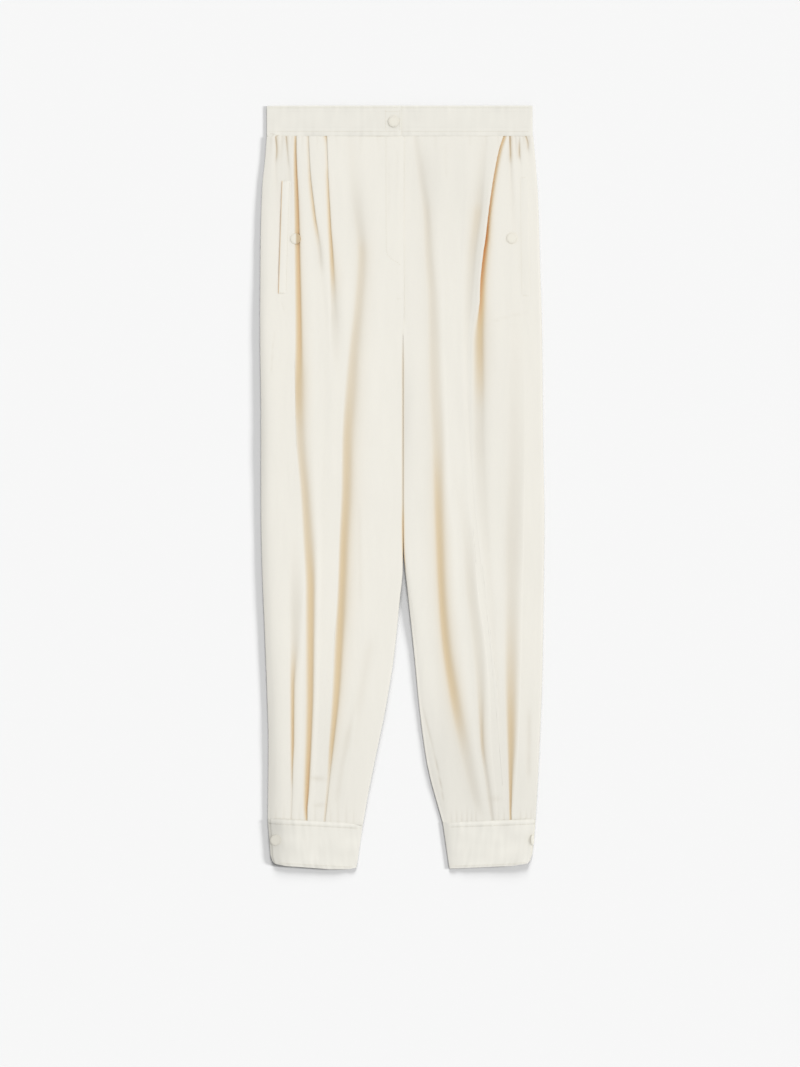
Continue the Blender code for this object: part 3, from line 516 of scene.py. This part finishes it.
def addNode(tree, kind, inputs, **settings):
    node = tree.nodes.new("ShaderNode" + kind)
    for name, value in settings.items():
        setattr(node, name, value)
    fillInputs(tree, node, inputs)
    return node.outputs


def linkedMath(tree, operation, first, second):
    return addNode(tree, "Math", {0: first, 1: second}, operation=operation)[0]


# An input with no value is a vector, one with four numbers a colour
def newGroup(name, inputs, outputs):
    group = bpy.data.node_groups.new(name, "ShaderNodeTree")
    for label, value in inputs.items():
        kind = "Vector" if value is None else "Color" if isinstance(value, tuple) else "Float"
        socket = group.interface.new_socket(name=label, in_out="INPUT", socket_type="NodeSocket" + kind)
        if value is not None:
            socket.default_value = value
    for label, kind in outputs.items():
        group.interface.new_socket(name=label, in_out="OUTPUT", socket_type="NodeSocket" + kind)
    return group, group.nodes.new("NodeGroupInput").outputs, group.nodes.new("NodeGroupOutput")


# Diagonal ribs of a twill with uneven yarns. Height feeds a bump, Shade darkens between the ribs.
def makeTwillGroup():
    group, given, result = newGroup(
        "twillWeave", {"Vector": None, "Rib Scale": 900.0, "Slub Scale": 420.0, "Slub": 0.35},
        {"Height": "Float", "Shade": "Float"})
    ribs = addNode(
        group, "TexWave", {"Distortion": 1.2, "Detail": 1.0, "Vector": given["Vector"], "Scale": given["Rib Scale"]},
        wave_type="BANDS", bands_direction="DIAGONAL")["Fac"]
    stretched = addNode(group, "Mapping", {"Scale": (1.0, 0.12, 1.0), "Vector": given["Vector"]})["Vector"]
    slub = addNode(group, "TexNoise", {"Detail": 2.0, "Vector": stretched, "Scale": given["Slub Scale"]})["Fac"]
    uneven = linkedMath(group, "MULTIPLY", slub, given["Slub"])
    fillInputs(group, result, {
        "Height": linkedMath(group, "ADD", linkedMath(group, "MULTIPLY", ribs, 0.6), uneven),
        "Shade": linkedMath(group, "SUBTRACT", 1.0, linkedMath(group, "MULTIPLY", ribs, 0.5)),
    })
    return group


# Colour of ivory cloth: painted warm shade in its hollows, painted grey shade where it is dim, with faint slow patches
def makeToneGroup():
    group, given, result = newGroup(
        "ivoryTone",
        {"Vector": None, "Hollow": 0.0, "Deep": 0.0, "Shade": 0.0, "Dim": 0.0, "Cloth Color": (0.8, 0.8, 0.7, 1),
         "Hollow Color": (0.7, 0.6, 0.4, 1), "Deep Color": (0.5, 0.3, 0.2, 1), "Patch Scale": 9.0, "Patchiness": 0.05},
        {"Color": "Color"})
    patches = addNode(
        group, "TexNoise", {"Detail": 4.0, "Vector": given["Vector"], "Scale": given["Patch Scale"]})["Fac"]
    cloth = given["Cloth Color"]
    for label in ("Hollow", "Deep"):
        blend = {"Factor": given[label], "A": cloth, "B": given[label + " Color"]}
        cloth = addNode(group, "Mix", blend, data_type="RGBA")["Result"]
    value = linkedMath(group, "MULTIPLY", linkedMath(group, "SUBTRACT", patches, 0.5), given["Patchiness"])
    for label, darkening in (("Shade", -0.03), ("Dim", -0.17)):
        value = linkedMath(group, "ADD", value, linkedMath(group, "MULTIPLY", given[label], darkening))
    value = linkedMath(group, "ADD", value, 1.015)
    tone = addNode(group, "HueSaturation", {"Color": cloth, "Value": value})
    fillInputs(group, result, {"Color": tone["Color"]})
    return group


def makeCloth(name, look):
    material = bpy.data.materials.new(name)
    material.use_nodes = True
    tree = material.node_tree
    place = addNode(tree, "UVMap", {}, uv_map="cloth")["UV"]
    # hollow carries painted warm shade, dim painted grey shade, and where dim is below zero painted light from the
    # floor
    hollow = addNode(tree, "Attribute", {}, attribute_name="hollow")["Fac"]
    dim = addNode(tree, "Attribute", {}, attribute_name="dim")["Fac"]
    weave = addNode(
        tree, "Group", {"Vector": place, "Rib Scale": look["ribScale"], "Slub": look["slub"]}, node_tree=twillGroup)
    spans = {
        label: addNode(tree, "MapRange", {"Value": hollow, "From Min": start, "From Max": full})["Result"]
        for label, (start, full) in (("Hollow", look["hollowRange"]), ("Deep", look["deepRange"]))
    }
    tone = addNode(tree, "Group", {
        **spans, "Vector": place, "Shade": weave["Shade"], "Dim": dim, "Cloth Color": (*look["color"], 1),
        "Hollow Color": (*look["hollowColor"], 1), "Deep Color": (*look["deepColor"], 1),
        "Patchiness": look["patchiness"],
    }, node_tree=toneGroup)
    bump = addNode(tree, "Bump", {"Strength": look["bump"], "Distance": look["bumpHeight"], "Height": weave["Height"]})
    fillInputs(tree, tree.nodes["Principled BSDF"], {
        "Roughness": look["roughness"], "Sheen Weight": look["sheen"], "Sheen Roughness": look["sheenRoughness"],
        "Specular IOR Level": look["specular"], "Base Color": tone["Color"], "Normal": bump["Normal"],
    })
    return material


# hollowColor and deepColor: painted warm shade of the fold hollows and the deep tucks
clothLook = {
    "color": (0.87, 0.845, 0.77), "hollowColor": (0.785, 0.634, 0.415), "hollowRange": (0.0, 0.5),
    "deepColor": (0.695, 0.324, 0.092), "deepRange": (0.5, 1.0), "roughness": 0.88, "sheen": 0.12,
    "sheenRoughness": 0.6, "specular": 0.25, "ribScale": 900.0, "slub": 0.35, "patchiness": 0.05, "bump": 0.14,
    "bumpHeight": 0.4 * mm,
}
bandLook = {**clothLook, "color": (0.84, 0.82, 0.75), "bump": 0.1}
buttonLook = {**clothLook, "color": (0.87, 0.84, 0.745), "roughness": 0.75, "bump": 0.1, "sheen": 0.05}
threadLook = {**clothLook, "color": (0.80, 0.76, 0.66), "bump": 0.1, "patchiness": 0.0}
twillGroup = makeTwillGroup()
toneGroup = makeToneGroup()
ivoryTwill = makeCloth("ivoryTwill", clothLook)
bandTwill = makeCloth("bandTwill", bandLook)
coveredButton = makeCloth("coveredButtonCloth", buttonLook)
sewingThread = makeCloth("sewingThread", threadLook)
print("materials made")


def legRows(count, first, last):
    t = np.linspace(0, 1, count)
    return first + (last - first) * (t - 0.04 * np.sin(2 * math.pi * t))


frontShape = {
    "runsIn": (3.5, 3.0),  # how far the cloth runs in under the waistband and the cuff
    "insideLevel": 3.0,  # and its height there
    "emerges": (1.6, 1.7, 2.0),  # from how far inside each it rises again, and over what length
    "sewnEdge": 1.5,  # how wide an edge stays smooth
    "seed": {"right": 3.0, "left": 23.0},
    "unevenness": 0.85,
    "creaseShade": (0.08, 0.6),  # painted warm and grey shade in a pressed crease's trough
    "kneeDown": 500.0,
    "pullIn": {"waist": (20.0, 3.2), "cuff": (118.0, 1.4)},  # towards where its sides draw in there, and how far
    "seamWidth": 1.4,
    "crotch": (530, 640),
    "glowStarts": 620.0,  # where the inside legs begin to catch light from the floor
    "frontsMeet": 300.0,  # where the shade between the fronts begins
}


def makeFront(side):
    shape = frontShape
    first, last = garment["bandDepth"] - shape["runsIn"][0], garment["cuffSeam"] + shape["runsIn"][1]
    down = legRows(sheetDetail["frontRows"], first, last)
    inside = np.clip(down, garment["bandDepth"], garment["cuffSeam"])
    across, level, hollow, dim, arc = smoothSections(frontGuides(side, inside), sheetDetail["frontColumns"])
    along = np.maximum(slantDown(side, down[:, None], across), first)
    plainDown = np.broadcast_to(down[:, None], across.shape)
    fromInner = arc[:, -1:] - arc
    free = smoothStep((np.minimum(arc, fromInner) - shape["sewnEdge"]) / 5)
    pressed = creaseHeight(side, across, plainDown)
    uneven = shape["unevenness"] * unevenness(across, plainDown, shape["seed"][side])
    level = level + free * (pressed + uneven)
    # painted shade in the troughs of the pressed creases
    trough = free * np.clip(-pressed, 0, 1)
    hollow = hollow + shape["creaseShade"][0] * trough
    dim = dim + shape["creaseShade"][1] * trough
    # painted shade near the outer edge, painted light from the floor along the edges, and painted shade spots
    _, amount, reach = (np.interp(down, *np.array(outerShade[side], float).T[[0, k]])[:, None] for k in range(3))
    dim = dim + amount * bell(arc, reach) - edgeGlow[side][0] * bell(arc, edgeGlow["reach"][0])
    innerGlow = edgeGlow[side][1] * bell(fromInner, edgeGlow["reach"][1])
    dim = dim - innerGlow * smoothStep((plainDown - shape["glowStarts"]) / 60)
    for down0, across0, tall, wide, amount in shadeSpots[side]:
        dim = dim + amount * bell(plainDown - down0, tall) * bell(across - across0, wide)
    # the cloth runs in under the waistband and the cuff
    waistIn, cuffIn, length = shape["emerges"]
    out = smoothStep((plainDown - garment["bandDepth"] + waistIn) / length)
    out = out * smoothStep((garment["cuffSeam"] + cuffIn - plainDown) / length)
    low = shape["insideLevel"]
    level = np.where(level > low, low + (level - low) * out, level)
    (waistMiddle, waistPull), (cuffMiddle, cuffPull) = shape["pullIn"].values()
    upper = plainDown < shape["kneeDown"]
    pull = np.where(upper, waistPull, cuffPull) * smoothStep((np.abs(across - cuffMiddle) - 40) / 20)
    across = across - np.sign(across - np.where(upper, waistMiddle, cuffMiddle)) * pull * (1 - out)
    # warm shade between the legs
    start, end = shape["crotch"]
    above = smoothStep((end - plainDown) / 30)
    between = bell(fromInner, shape["seamWidth"]) * smoothStep((plainDown - shape["frontsMeet"]) / 60)
    crotch = smoothStep((plainDown - start) / 40) * above
    hollow = np.clip(hollow + between * (0.3 + 0.4 * crotch) * above, 0, 1)
    return addSheet("frontPanel" + side.title(), sideSign[side] * across, along, level, arc,
                    {"hollow": hollow, "dim": dim}, garment["wall"], ivoryTwill, side == "right")


backShape = {"sewnEdge": 6.0, "seed": 41.0, "unevenness": 0.7, "highest": 0.5}


def makeBack(side):
    shape = backShape
    down = legRows(sheetDetail["backRows"], garment["bandDepth"] + 0.3, garment["cuffSeam"])
    across, level, arc = smoothSections(backGuides(side, down), sheetDetail["backColumns"])
    along = slantDown(side, down[:, None], across)
    free = smoothStep((np.minimum(arc, arc[:, -1:] - arc) - shape["sewnEdge"]) / 12)
    uneven = unevenness(across, np.broadcast_to(down[:, None], across.shape), shape["seed"])
    level = level + free * np.clip(shape["unevenness"] * uneven, 0, shape["highest"])
    return addSheet("backPanel" + side.title(), sideSign[side] * across, along, level, arc, {}, garment["wall"],
                    ivoryTwill, side == "left")


# Bands that wrap round flat, with a lap. grooves: place, width, how deep, and painted shade lies in each. ripple:
# everywhere, more at the seams.
bandShape = {
    "wall": 1.5, "visibleAbove": 2.6, "softEdge": 0.45, "stepDown": 30.0,
    "rim": (0.45, 0.9), "seam": (0.25, 1.1),  # how far its edges and its seam turn down, and over what width
    "hemReach": 2.2, "endReach": 8.0,
    "waves": ((5.5, 30, 1, 0), (22, 16, 0.8, 5)),
}
waistbandShape = {
    **bandShape, "top": 1.4, "right": 184.0, "left": 175.0, "lapEnd": -2.7, "underEnd": -32.0, "level": 5.0,
    "lapRise": 0.8, "underDrop": 1.05, "endDrop": 3.0, "rejoin": True, "rows": 58, "columns": 380,
    "ripple": (0.08, 0.12), "lineTone": 0.55, "hemDrop": 0.0, "seed": 7.0,
    "grooves": [(4.2, 0.8, 0.2), (8.3, 1.0, 0.14), (30.6, 1.0, 0.14), (36.4, 0.8, 0.26), (39.3, 0.7, 0.12)],
}
cuffShape = {
    **bandShape, "level": 4.9, "lapRise": 0.9, "underDrop": 0.85, "endDrop": 2.5, "underlap": 32.0, "rejoin": False,
    "rows": 90, "columns": 190, "ripple": (0.18, 0.25), "lineTone": 0.9, "hemDrop": 1.3,
    "lapBack": {"right": 3.9, "left": 2.6}, "seed": {"right": 11.0, "left": 17.0},
    "shade": {"right": (1.4, 26.0), "left": (0.9, 14.0)},  # soft grey at the picture's left end: amount, reach
    "grooves": [(6.6, 0.9, 0.6), (2.4, 1.3, -0.35), (60.0, 0.8, 0.3)],
}
# Sides of the cuffs: share of depth, outer, inner. Hem: across, down.
cuffSides = {
    "right": [(0, 182.6, 54), (0.08, 182.4, 54.6), (0.5, 180.5, 58.2), (0.88, 179.2, 61.4), (1, 176.4, 63)],
    "left": [(0, 179, 53.2), (0.08, 178.8, 54.2), (0.5, 177.2, 58), (0.88, 174.8, 61.4), (1, 171.6, 62.6)],
}
cuffHem = {
    "right": [(62.8, 1029), (71.6, 1031.2), (98.6, 1031.2), (139, 1028.1), (158, 1026.8), (171.5, 1024.2),
              (178.9, 1017.8)],
    "left": [(62.1, 1030.6), (100, 1028.8), (148.5, 1026.6), (167.4, 1023.6), (174.2, 1015.8)],
}


# far: the side that the lap's end first runs towards
def bandGuides(far, near, lap, under, top, shape):
    away = np.sign(far - near)
    half = away * shape["wall"] / 2
    low = shape["wall"] / 2
    raised, tucked = top + shape["lapRise"], top - shape["underDrop"]
    over = far - under
    slope = np.minimum(shape["stepDown"], 0.35 * np.abs(over)) * away
    path = [
        (lap, raised - 0.1), (lap + 0.5 * (under - lap), raised), (under, raised),
        (under + slope * 0.5, top + 0.5 * (raised - top)), (under + slope, top), (under + 0.4 * over, top),
        (under + 0.7 * over, top), (far - away * 9, top - 0.75 * shape["endDrop"]),
        (far - away * 2.2, top - shape["endDrop"]), (far - half, top - shape["endDrop"] - 0.5), (far - half, low + 0.6),
        *((far - away * k, low) for k in (3, 6, 9)), *((far + (near - far) * k, low) for k in (0.35, 0.65)),
        *((near + away * k, low) for k in (9, 6, 3)), (near + half, low + 0.5), (near + half, tucked - 0.6),
    ]
    if shape["rejoin"]:
        path += [(near + away * 2.2, top), (near + away * 7, top), (near + 0.5 * (lap - near), top),
                 (lap - away * 12, top), (lap - away * 6, top), (lap - away * 1.5, top - 0.2), (lap + away * 4, tucked)]
    else:
        path += [(near + away * 2.2, tucked), (near + away * 7, tucked),
                 (near + away * 12 + 0.5 * (under - near - away * 12), tucked)]
    return asGuides(path + [(under, tucked)], len(top))


# place: gives the distance down the garment and the depth into the band for every x
def makeBand(name, guides, shape, place, seed, flip, shade=(0.0, 1.0)):
    x, level, arc = smoothSections(guides, shape["columns"])
    down, depth = place(x)
    shows = smoothStep(level - shape["visibleAbove"])
    ripple = unevenness(arc, depth, seed, shape["waves"])
    lines = 0 * level
    for at, width, groove in shape["grooves"]:
        line = shows * groove * bell(depth - at, width)
        level = level - line
        lines = lines + shape["lineTone"] * line * (1 + 0.8 * ripple)
    fromHem = depth[-1] - depth
    nearSeam = bell(depth, 7) + bell(fromHem, 6)
    level = level + shows * ripple * (shape["ripple"][0] + shape["ripple"][1] * nearSeam)
    (rimDrop, rimWidth), (seamDip, seamWidth) = shape["rim"], shape["seam"]
    fromSeam = fromHem if shape["rejoin"] else depth
    level = level - shows * (rimDrop * bell(np.minimum(depth, fromHem), rimWidth) + seamDip * bell(fromSeam, seamWidth))
    outer = (x.min if name.endswith("Right") else x.max)(axis=1, keepdims=True)
    soften = np.maximum(bell(fromHem, shape["hemReach"]), bell(x - outer, shape["endReach"]))
    level = level - shows * shape["hemDrop"] * soften
    spots = np.clip(ripple * (1.5 * shape["ripple"][0] + 1.8 * shape["ripple"][1] * nearSeam), -0.25, 0.6)
    # grey on the band: painted shade in the grooves, grey that follows the ripple (more near the seams), and painted
    # shade at the end with the lowest x
    dim = lines + spots + shade[0] * bell(x - x.min(), shade[1])
    piece = addSheet(name, x, down, level, arc, {"dim": dim}, shape["wall"], bandTwill, flip)
    return softenEdges(piece, shape["softEdge"])


def makeWaistband():
    shape = waistbandShape
    one = np.ones(shape["rows"])
    ends = (-shape["right"], shape["left"], shape["lapEnd"], shape["underEnd"], shape["level"])
    guides = bandGuides(*(value * one for value in ends), shape)
    depth = np.linspace(0, garment["bandDepth"], shape["rows"])[:, None] * np.ones(shape["columns"])
    down = shape["top"] + depth * (1 - shape["top"] / garment["bandDepth"])
    return makeBand("waistbandStrip", guides, shape, lambda x: (down, depth), shape["seed"], True)


def cuffSpan(side, across):
    seam = garment["cuffSeam"] + garment["cuffGap"] + seamDrop(side, across)
    return seam, np.interp(across, *np.array(cuffHem[side], float).T) - seam


def makeCuff(side):
    shape, sign = cuffShape, sideSign[side]
    share = np.linspace(0, 1, shape["rows"])
    outer, inner = (np.interp(share, *np.array(cuffSides[side], float).T[[0, k]]) for k in (1, 2))
    guides = bandGuides(sign * inner, sign * outer, sign * (outer - shape["lapBack"][side]),
                        sign * (outer - shape["underlap"]), shape["level"] + 0 * share, shape)

    def place(x):
        seam, full = cuffSpan(side, np.abs(x))
        return seam + full * share[:, None], full * share[:, None]

    return makeBand("cuffBand" + side.title(), guides, shape, place, shape["seed"][side], side == "left",
                    shape["shade"][side])


pieces = {}
for side in sideSign:
    pieces["front_" + side] = makeFront(side)
    pieces["back_" + side] = makeBack(side)
    pieces["cuff_" + side] = makeCuff(side)
pieces["waistband"] = makeWaistband()
print("cloth panels and bands made")


# Height of the outer face under a point, by looking straight down on what carries it
def surfaceOf(*names):
    graph = bpy.context.evaluated_depsgraph_get()
    points, faces = [], []
    for name in names:
        mesh = pieces[name].evaluated_get(graph).to_mesh()
        start = len(points)
        points += [v.co.copy() for v in mesh.vertices]
        faces += [[start + i for i in face.vertices] for face in mesh.polygons]
    tree = BVHTree.FromPolygons(points, faces)

    def look(x, down):
        hit = tree.ray_cast(Vector((x * mm, (garment["length"] / 2 - down) * mm, 0.05)), Vector((0, 0, -1)))[0]
        return hit.z / mm if hit else 0.0

    return look


onFronts = surfaceOf("front_right", "front_left")
onWaistband = surfaceOf("waistband")
onCuffs = {side: surfaceOf("cuff_" + side) for side in ("right", "left")}

# Each strip's ends: down, across its inner side. lift: how far the middle of its cloth lies above the front, at
# its sewn edge and at the pocket's mouth.
weltEnds = {"right": [(103, 151.4), (255, 156.2)], "left": [(97, 156.6), (259, 158.6)]}
weltShape = {
    "width": 12.0, "wall": 0.8, "rows": 90, "columns": 16, "softEdge": 0.25, "endDrop": 0.5,
    "lift": {"right": (-0.1, 0.9), "left": (-0.5, 0.0)}, "puff": {"right": 0.2, "left": 0.02},
    # lip: painted shade along the pocket's mouth
    "lip": {"right": 0.85, "left": 0.0}, "groove": {"right": 0.22, "left": 0.05},
}


def makeWelt(side):
    shape = weltShape
    top, foot = np.array(weltEnds[side], float)
    share = np.linspace(0, 1, shape["rows"])[:, None]
    reach = np.linspace(0, 1, shape["columns"])[None, :]
    down, inner = (top[k] + (foot[k] - top[k]) * share for k in (0, 1))
    down = down + 0 * reach
    across = inner + shape["width"] * reach
    level = np.array([[onFronts(sideSign[side] * a, d) for a, d in zip(*row)] for row in zip(across, down)])
    for _ in range(6):
        level[1:-1] = (level[:-2] + 2 * level[1:-1] + level[2:]) / 4
    sewn, mouth = shape["lift"][side]
    level = level + sewn + (mouth - sewn) * smoothStep(reach / 0.6) + shape["puff"][side] * np.sin(math.pi * reach)
    level = level - shape["groove"][side] * bell((reach - 0.14) * shape["width"], 0.7)
    level = level - shape["endDrop"] * bell(np.minimum(share, 1 - share) * 152, 1.6)
    # painted warm shade along the pocket's mouth
    lip = shape["lip"][side] * bell((1 - reach) * shape["width"], 0.7) + 0 * level
    piece = addSheet("pocketWelt" + side.title(), sideSign[side] * across, down, level, across, {"hollow": lip},
                     shape["wall"], ivoryTwill, side == "left")
    return softenEdges(piece, shape["softEdge"])


for side in ("right", "left"):
    pieces["pocket_welt_" + side] = makeWelt(side)
print("pocket welts made")

# Covered buttons. profile: share of radius, share of height. ring: the dint round the dome, the painted shade in it,
# its place, width.
buttonShape = {
    "radius": 7.3, "height": 2.6, "steps": 48, "ring": (0.3, 0.8, 0.07), "onEdge": 4.9, "floorGap": 0.15, "sunk": 0.2,
    "profile": [(0.25, 0.998), (0.5, 0.988), (0.68, 0.96), (0.76, 0.93), (0.8, 0.89), (0.84, 0.9), (0.9, 0.84),
                (0.96, 0.66), (1, 0.42), (0.985, 0.2), (0.93, 0.06), (0.8, 0.0)],
}
# x and down where they aren't the solid's own, tilt, grey over the whole button as painted shade (strongest on the
# right cuff's button at the cuff's shaded end), and painted shade of the right half under the pleat
buttonSpots = {
    "waist_button": (None, None, 0, 0.2, 0.0), "pocket_button_right": (-144.9, None, 0, 0.1, 1.1),
    "pocket_button_left": (None, None, 0, 0.1, 0.0), "cuff_button_right": (-171.8, 992.0, 0, 1.1, 0.0),
    "cuff_button_left": (173.6, 991.5, 78, 0.1, 0.0),
}


def makeButton(node):
    x, down, tilt, grey, shaded = buttonSpots[node]
    steps, radius, height = (buttonShape[key] for key in ("steps", "radius", "height"))
    low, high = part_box(node)
    place = Vector(((low.x + high.x) / 2 if x is None else x * mm, (low.y + high.y) / 2, low.z))
    if tilt:
        place.y = (garment["length"] / 2 - down) * mm
        place.z = buttonShape["onEdge"] * mm
    elif down:
        place.z = (onCuffs["right"](x, down) - buttonShape["sunk"]) * mm
    turn = Matrix.Rotation(math.radians(tilt), 4, "Y")
    around = [2 * math.pi * k / steps for k in range(steps)]
    points = [(0, 0, height)]
    for r, h in buttonShape["profile"]:
        points += [(r * radius * math.cos(a), r * radius * math.sin(a), h * height) for a in around]
    points = np.array([turn @ (Vector(point) * mm) + place for point in points + [(0, 0, 0)]])
    # the hidden foot of a button on edge stays above the floor
    points[:, 2] = np.maximum(points[:, 2], buttonShape["floorGap"] * mm)
    faces = [(0, 1 + k, 1 + (k + 1) % steps) for k in range(steps)]
    last = 1 + (len(buttonShape["profile"]) - 1) * steps
    for a in range(1, last, steps):
        faces += [(a + k, a + steps + k, a + steps + (k + 1) % steps, a + (k + 1) % steps) for k in range(steps)]
    faces += [(len(points) - 1, last + (k + 1) % steps, last + k) for k in range(steps)]
    name = "".join(word.title() if k else word for k, word in enumerate(node.split("_")))
    x, y = (points - place)[:, :2].T / mm
    # painted shade: over the whole button, in the ring's dint, and on the right half under the pleat
    shade = shaded * smoothStep((x + 0.6) / 2.6)
    ringShade, ringPlace, ringWidth = buttonShape["ring"]
    dim = grey + shade + ringShade * bell(np.hypot(x, y) / radius - ringPlace, ringWidth)
    return addMesh(name, points.tolist(), faces, coveredButton, points[:, :2], {"dim": dim, "hollow": 0.5 * shade})


for node in buttonSpots:
    pieces[node] = makeButton(node)
print("buttons made")

# Sewing. Each row: points (x, down) that it follows.
stitchShape = {"length": 2.6, "gap": 0.9, "thick": 0.5, "sink": 0.08, "arch": 0.22, "sides": 6}
waistRows = [[(start, down), (end, down)] for down in (4.2, 36.4) for start, end in ((-181, -3.8), (-1.4, 172.5))]
waistRows += [[(-23.6, 7.5), (-23.6, 36)], [(-4.4, 7.5), (-4.4, 36)], [(-23.6, 9.5), (-4.4, 9.5)]]
flyRows = [
    [(-22.9, 44), (-22.9, 120), (-22.6, 196), (-20.5, 203), (-15, 209), (-8.1, 212.5), (-1.5, 219)],
    [(-8.5, 262), (-1, 262)],
]
weltRows = {
    "right": [[(-153.2, 105), (-157.9, 253)], [(-162, 104.2), (-153.6, 104.2)], [(-166.4, 253.8), (-158.4, 253.8)]],
    "left": [[(158.2, 99), (160.2, 257)], [(159.2, 98.4), (167.4, 98.4)], [(161.2, 257.8), (169.4, 257.8)]],
}
# Along the cuffs: depth into the cuff, and from where to where across
cuffRows = {"right": [(6.4, 60, 172), (59, 66, 168)], "left": [(6.4, 60, 170), (59, 66, 164)]}


def addStitches(name, rows, look):
    shape, sides = stitchShape, stitchShape["sides"]
    points, faces = [], []
    for row in rows:
        length, pointAt = alongPath(row)
        pitch = shape["length"] + shape["gap"]
        for k in range(max(1, int(length / pitch))):
            first = len(points)
            for share in (0, 0.2, 0.5, 0.8, 1):
                at = k * pitch + share * shape["length"]
                (x, down), (nextX, nextDown) = pointAt(np.array([at, at + 0.5]))
                size = math.hypot(nextX - x, nextDown - down) or 1
                side = Vector(((down - nextDown) / size, (x - nextX) / size, 0))
                arch = math.sin(math.pi * share)
                middle = Vector((x, garment["length"] / 2 - down, look(x, down) - shape["sink"] + shape["arch"] * arch))
                thick = shape["thick"] / 2 * (0.55 + 0.45 * arch)
                turns = [2 * math.pi * j / sides for j in range(sides)]
                points += [(middle + side * thick * math.cos(a) + Vector((0, 0, thick * math.sin(a)))) * mm
                           for a in turns]
            for start in range(first, len(points) - sides, sides):
                faces += [(start + j, start + (j + 1) % sides, start + (j + 1) % sides + sides, start + j + sides)
                          for j in range(sides)]
            faces += [tuple(range(first, first + sides))[::-1], tuple(range(len(points) - sides, len(points)))]
    return addMesh(name, points, faces, sewingThread)


def cuffRow(side, depth, first, last):
    row = []
    for across in np.linspace(last, first, 12):
        seam, full = cuffSpan(side, across)
        row.append((sideSign[side] * across, seam + min(depth, full - 2.5)))
    return row


stitching = [
    addStitches("waistbandStitching", waistRows, onWaistband),
    addStitches("flyStitching", flyRows, onFronts),
]
for side in ("right", "left"):
    stitching.append(addStitches("weltStitching" + side.title(), weltRows[side], surfaceOf("pocket_welt_" + side)))
    rows = [cuffRow(side, *row) for row in cuffRows[side]]
    stitching.append(addStitches("cuffStitching" + side.title(), rows, onCuffs[side]))
print("stitching made")

for node, piece in pieces.items():
    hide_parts(node)
    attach(piece, "root")
for piece in stitching:
    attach(piece, "root")

# Camera straight above, as the photograph was taken. mmPerPixel: the photograph's scale.
shot = {"mmPerPixel": 1.35, "pictureHeight": 1067, "lookX": -4.05, "lookY": -62.98, "distance": 6.0, "sensor": 36.0}
camera = addObject("camera", bpy.data.cameras.new("camera"))
camera.data.sensor_width = shot["sensor"]
camera.data.lens = shot["sensor"] * shot["distance"] / (shot["mmPerPixel"] * shot["pictureHeight"] * mm)
camera.location = (shot["lookX"] * mm, shot["lookY"] * mm, shot["distance"])
camera.data.clip_end = 50
bpy.context.scene.camera = camera

# One sun for everything and two low ones that only the floor receives: strength, angle, elevation, azimuth
suns = {"softSun": (0.8, 26, 58, 28), "sideSun": (9.6, 10, 20.5, 6), "hemSun": (9.3, 22, 22, 87)}
studio = {"fill": 0.79, "floor": (0.29, 0.29, 0.29), "reach": 6}
paper = bpy.data.materials.new("palePaper")
paper.use_nodes = True
fillInputs(paper.node_tree, paper.node_tree.nodes["Principled BSDF"], {
    "Base Color": (*studio["floor"], 1), "Roughness": 0.95, "Specular IOR Level": 0.1,
})
around = [(studio["reach"] * x, studio["reach"] * y, 0) for x, y in ((-1, -1), (1, -1), (1, 1), (-1, 1))]
floor = addMesh("floor", around, [(0, 1, 2, 3)], paper)

# Every sheet of cloth: its size spread out flat in metres, the area of that shape, how it is held and on what
sheetCuts = {
    "front_right": ((0.226, 0.935), 0.177, "gathered", ["back_right"], ["flyStitching", "pocketButtonRight"]),
    "front_left": ((0.226, 0.935), 0.174, "gathered", ["back_left"], ["pocketButtonLeft"]),
    "back_right": ((0.196, 0.93), 0.168, "laid", ["floor"], []),
    "back_left": ((0.196, 0.93), 0.168, "laid", ["floor"], []),
    "waistband": ((0.776, 0.0408), None, "folded", ["floor"], ["waistbandStitching", "waistButton"]),
    "cuff_right": ((0.276, 0.067), 0.0175, "folded", ["floor"], ["cuffStitchingRight", "cuffButtonRight"]),
    "cuff_left": ((0.276, 0.067), 0.0172, "folded", ["floor"], ["cuffStitchingLeft", "cuffButtonLeft"]),
    "pocket_welt_right": ((0.0125, 0.155), None, "laid", ["front_right"], ["weltStitchingRight"]),
    "pocket_welt_left": ((0.0125, 0.163), None, "laid", ["front_left"], ["weltStitchingLeft"]),
}
for node, (size, area, held, restsOn, onIt) in sheetCuts.items():
    restsOn = [pieces[name].name if name in pieces else name for name in restsOn]
    onIt = [bpy.data.objects[name] for name in onIt]

onlyFloor = bpy.data.collections.new("onlyFloor")
onlyFloor.objects.link(floor)
onlyCloth = bpy.data.collections.new("onlyCloth")
for node, piece in pieces.items():
    if "button" not in node:
        onlyCloth.objects.link(piece)
for name, (strength, angle, elevation, azimuth) in suns.items():
    sun = addObject(name, bpy.data.lights.new(name, "SUN"))
    sun.data.energy = strength
    sun.data.angle = math.radians(angle)
    rise, turn = math.radians(elevation), math.radians(azimuth)
    towards = Vector((math.cos(rise) * math.cos(turn), math.cos(rise) * math.sin(turn), math.sin(rise)))
    sun.rotation_euler = towards.to_track_quat("Z", "Y").to_euler()
    if name != "softSun":
        sun.light_linking.receiver_collection = onlyFloor
        sun.light_linking.blocker_collection = onlyCloth
world = bpy.data.worlds.new("studioWorld")
world.use_nodes = True
fillInputs(world.node_tree, world.node_tree.nodes["Background"], {"Color": (1, 1, 1, 1), "Strength": studio["fill"]})
bpy.context.scene.world = world
bpy.context.scene.view_settings.view_transform = "Standard"
print("camera and lights set")
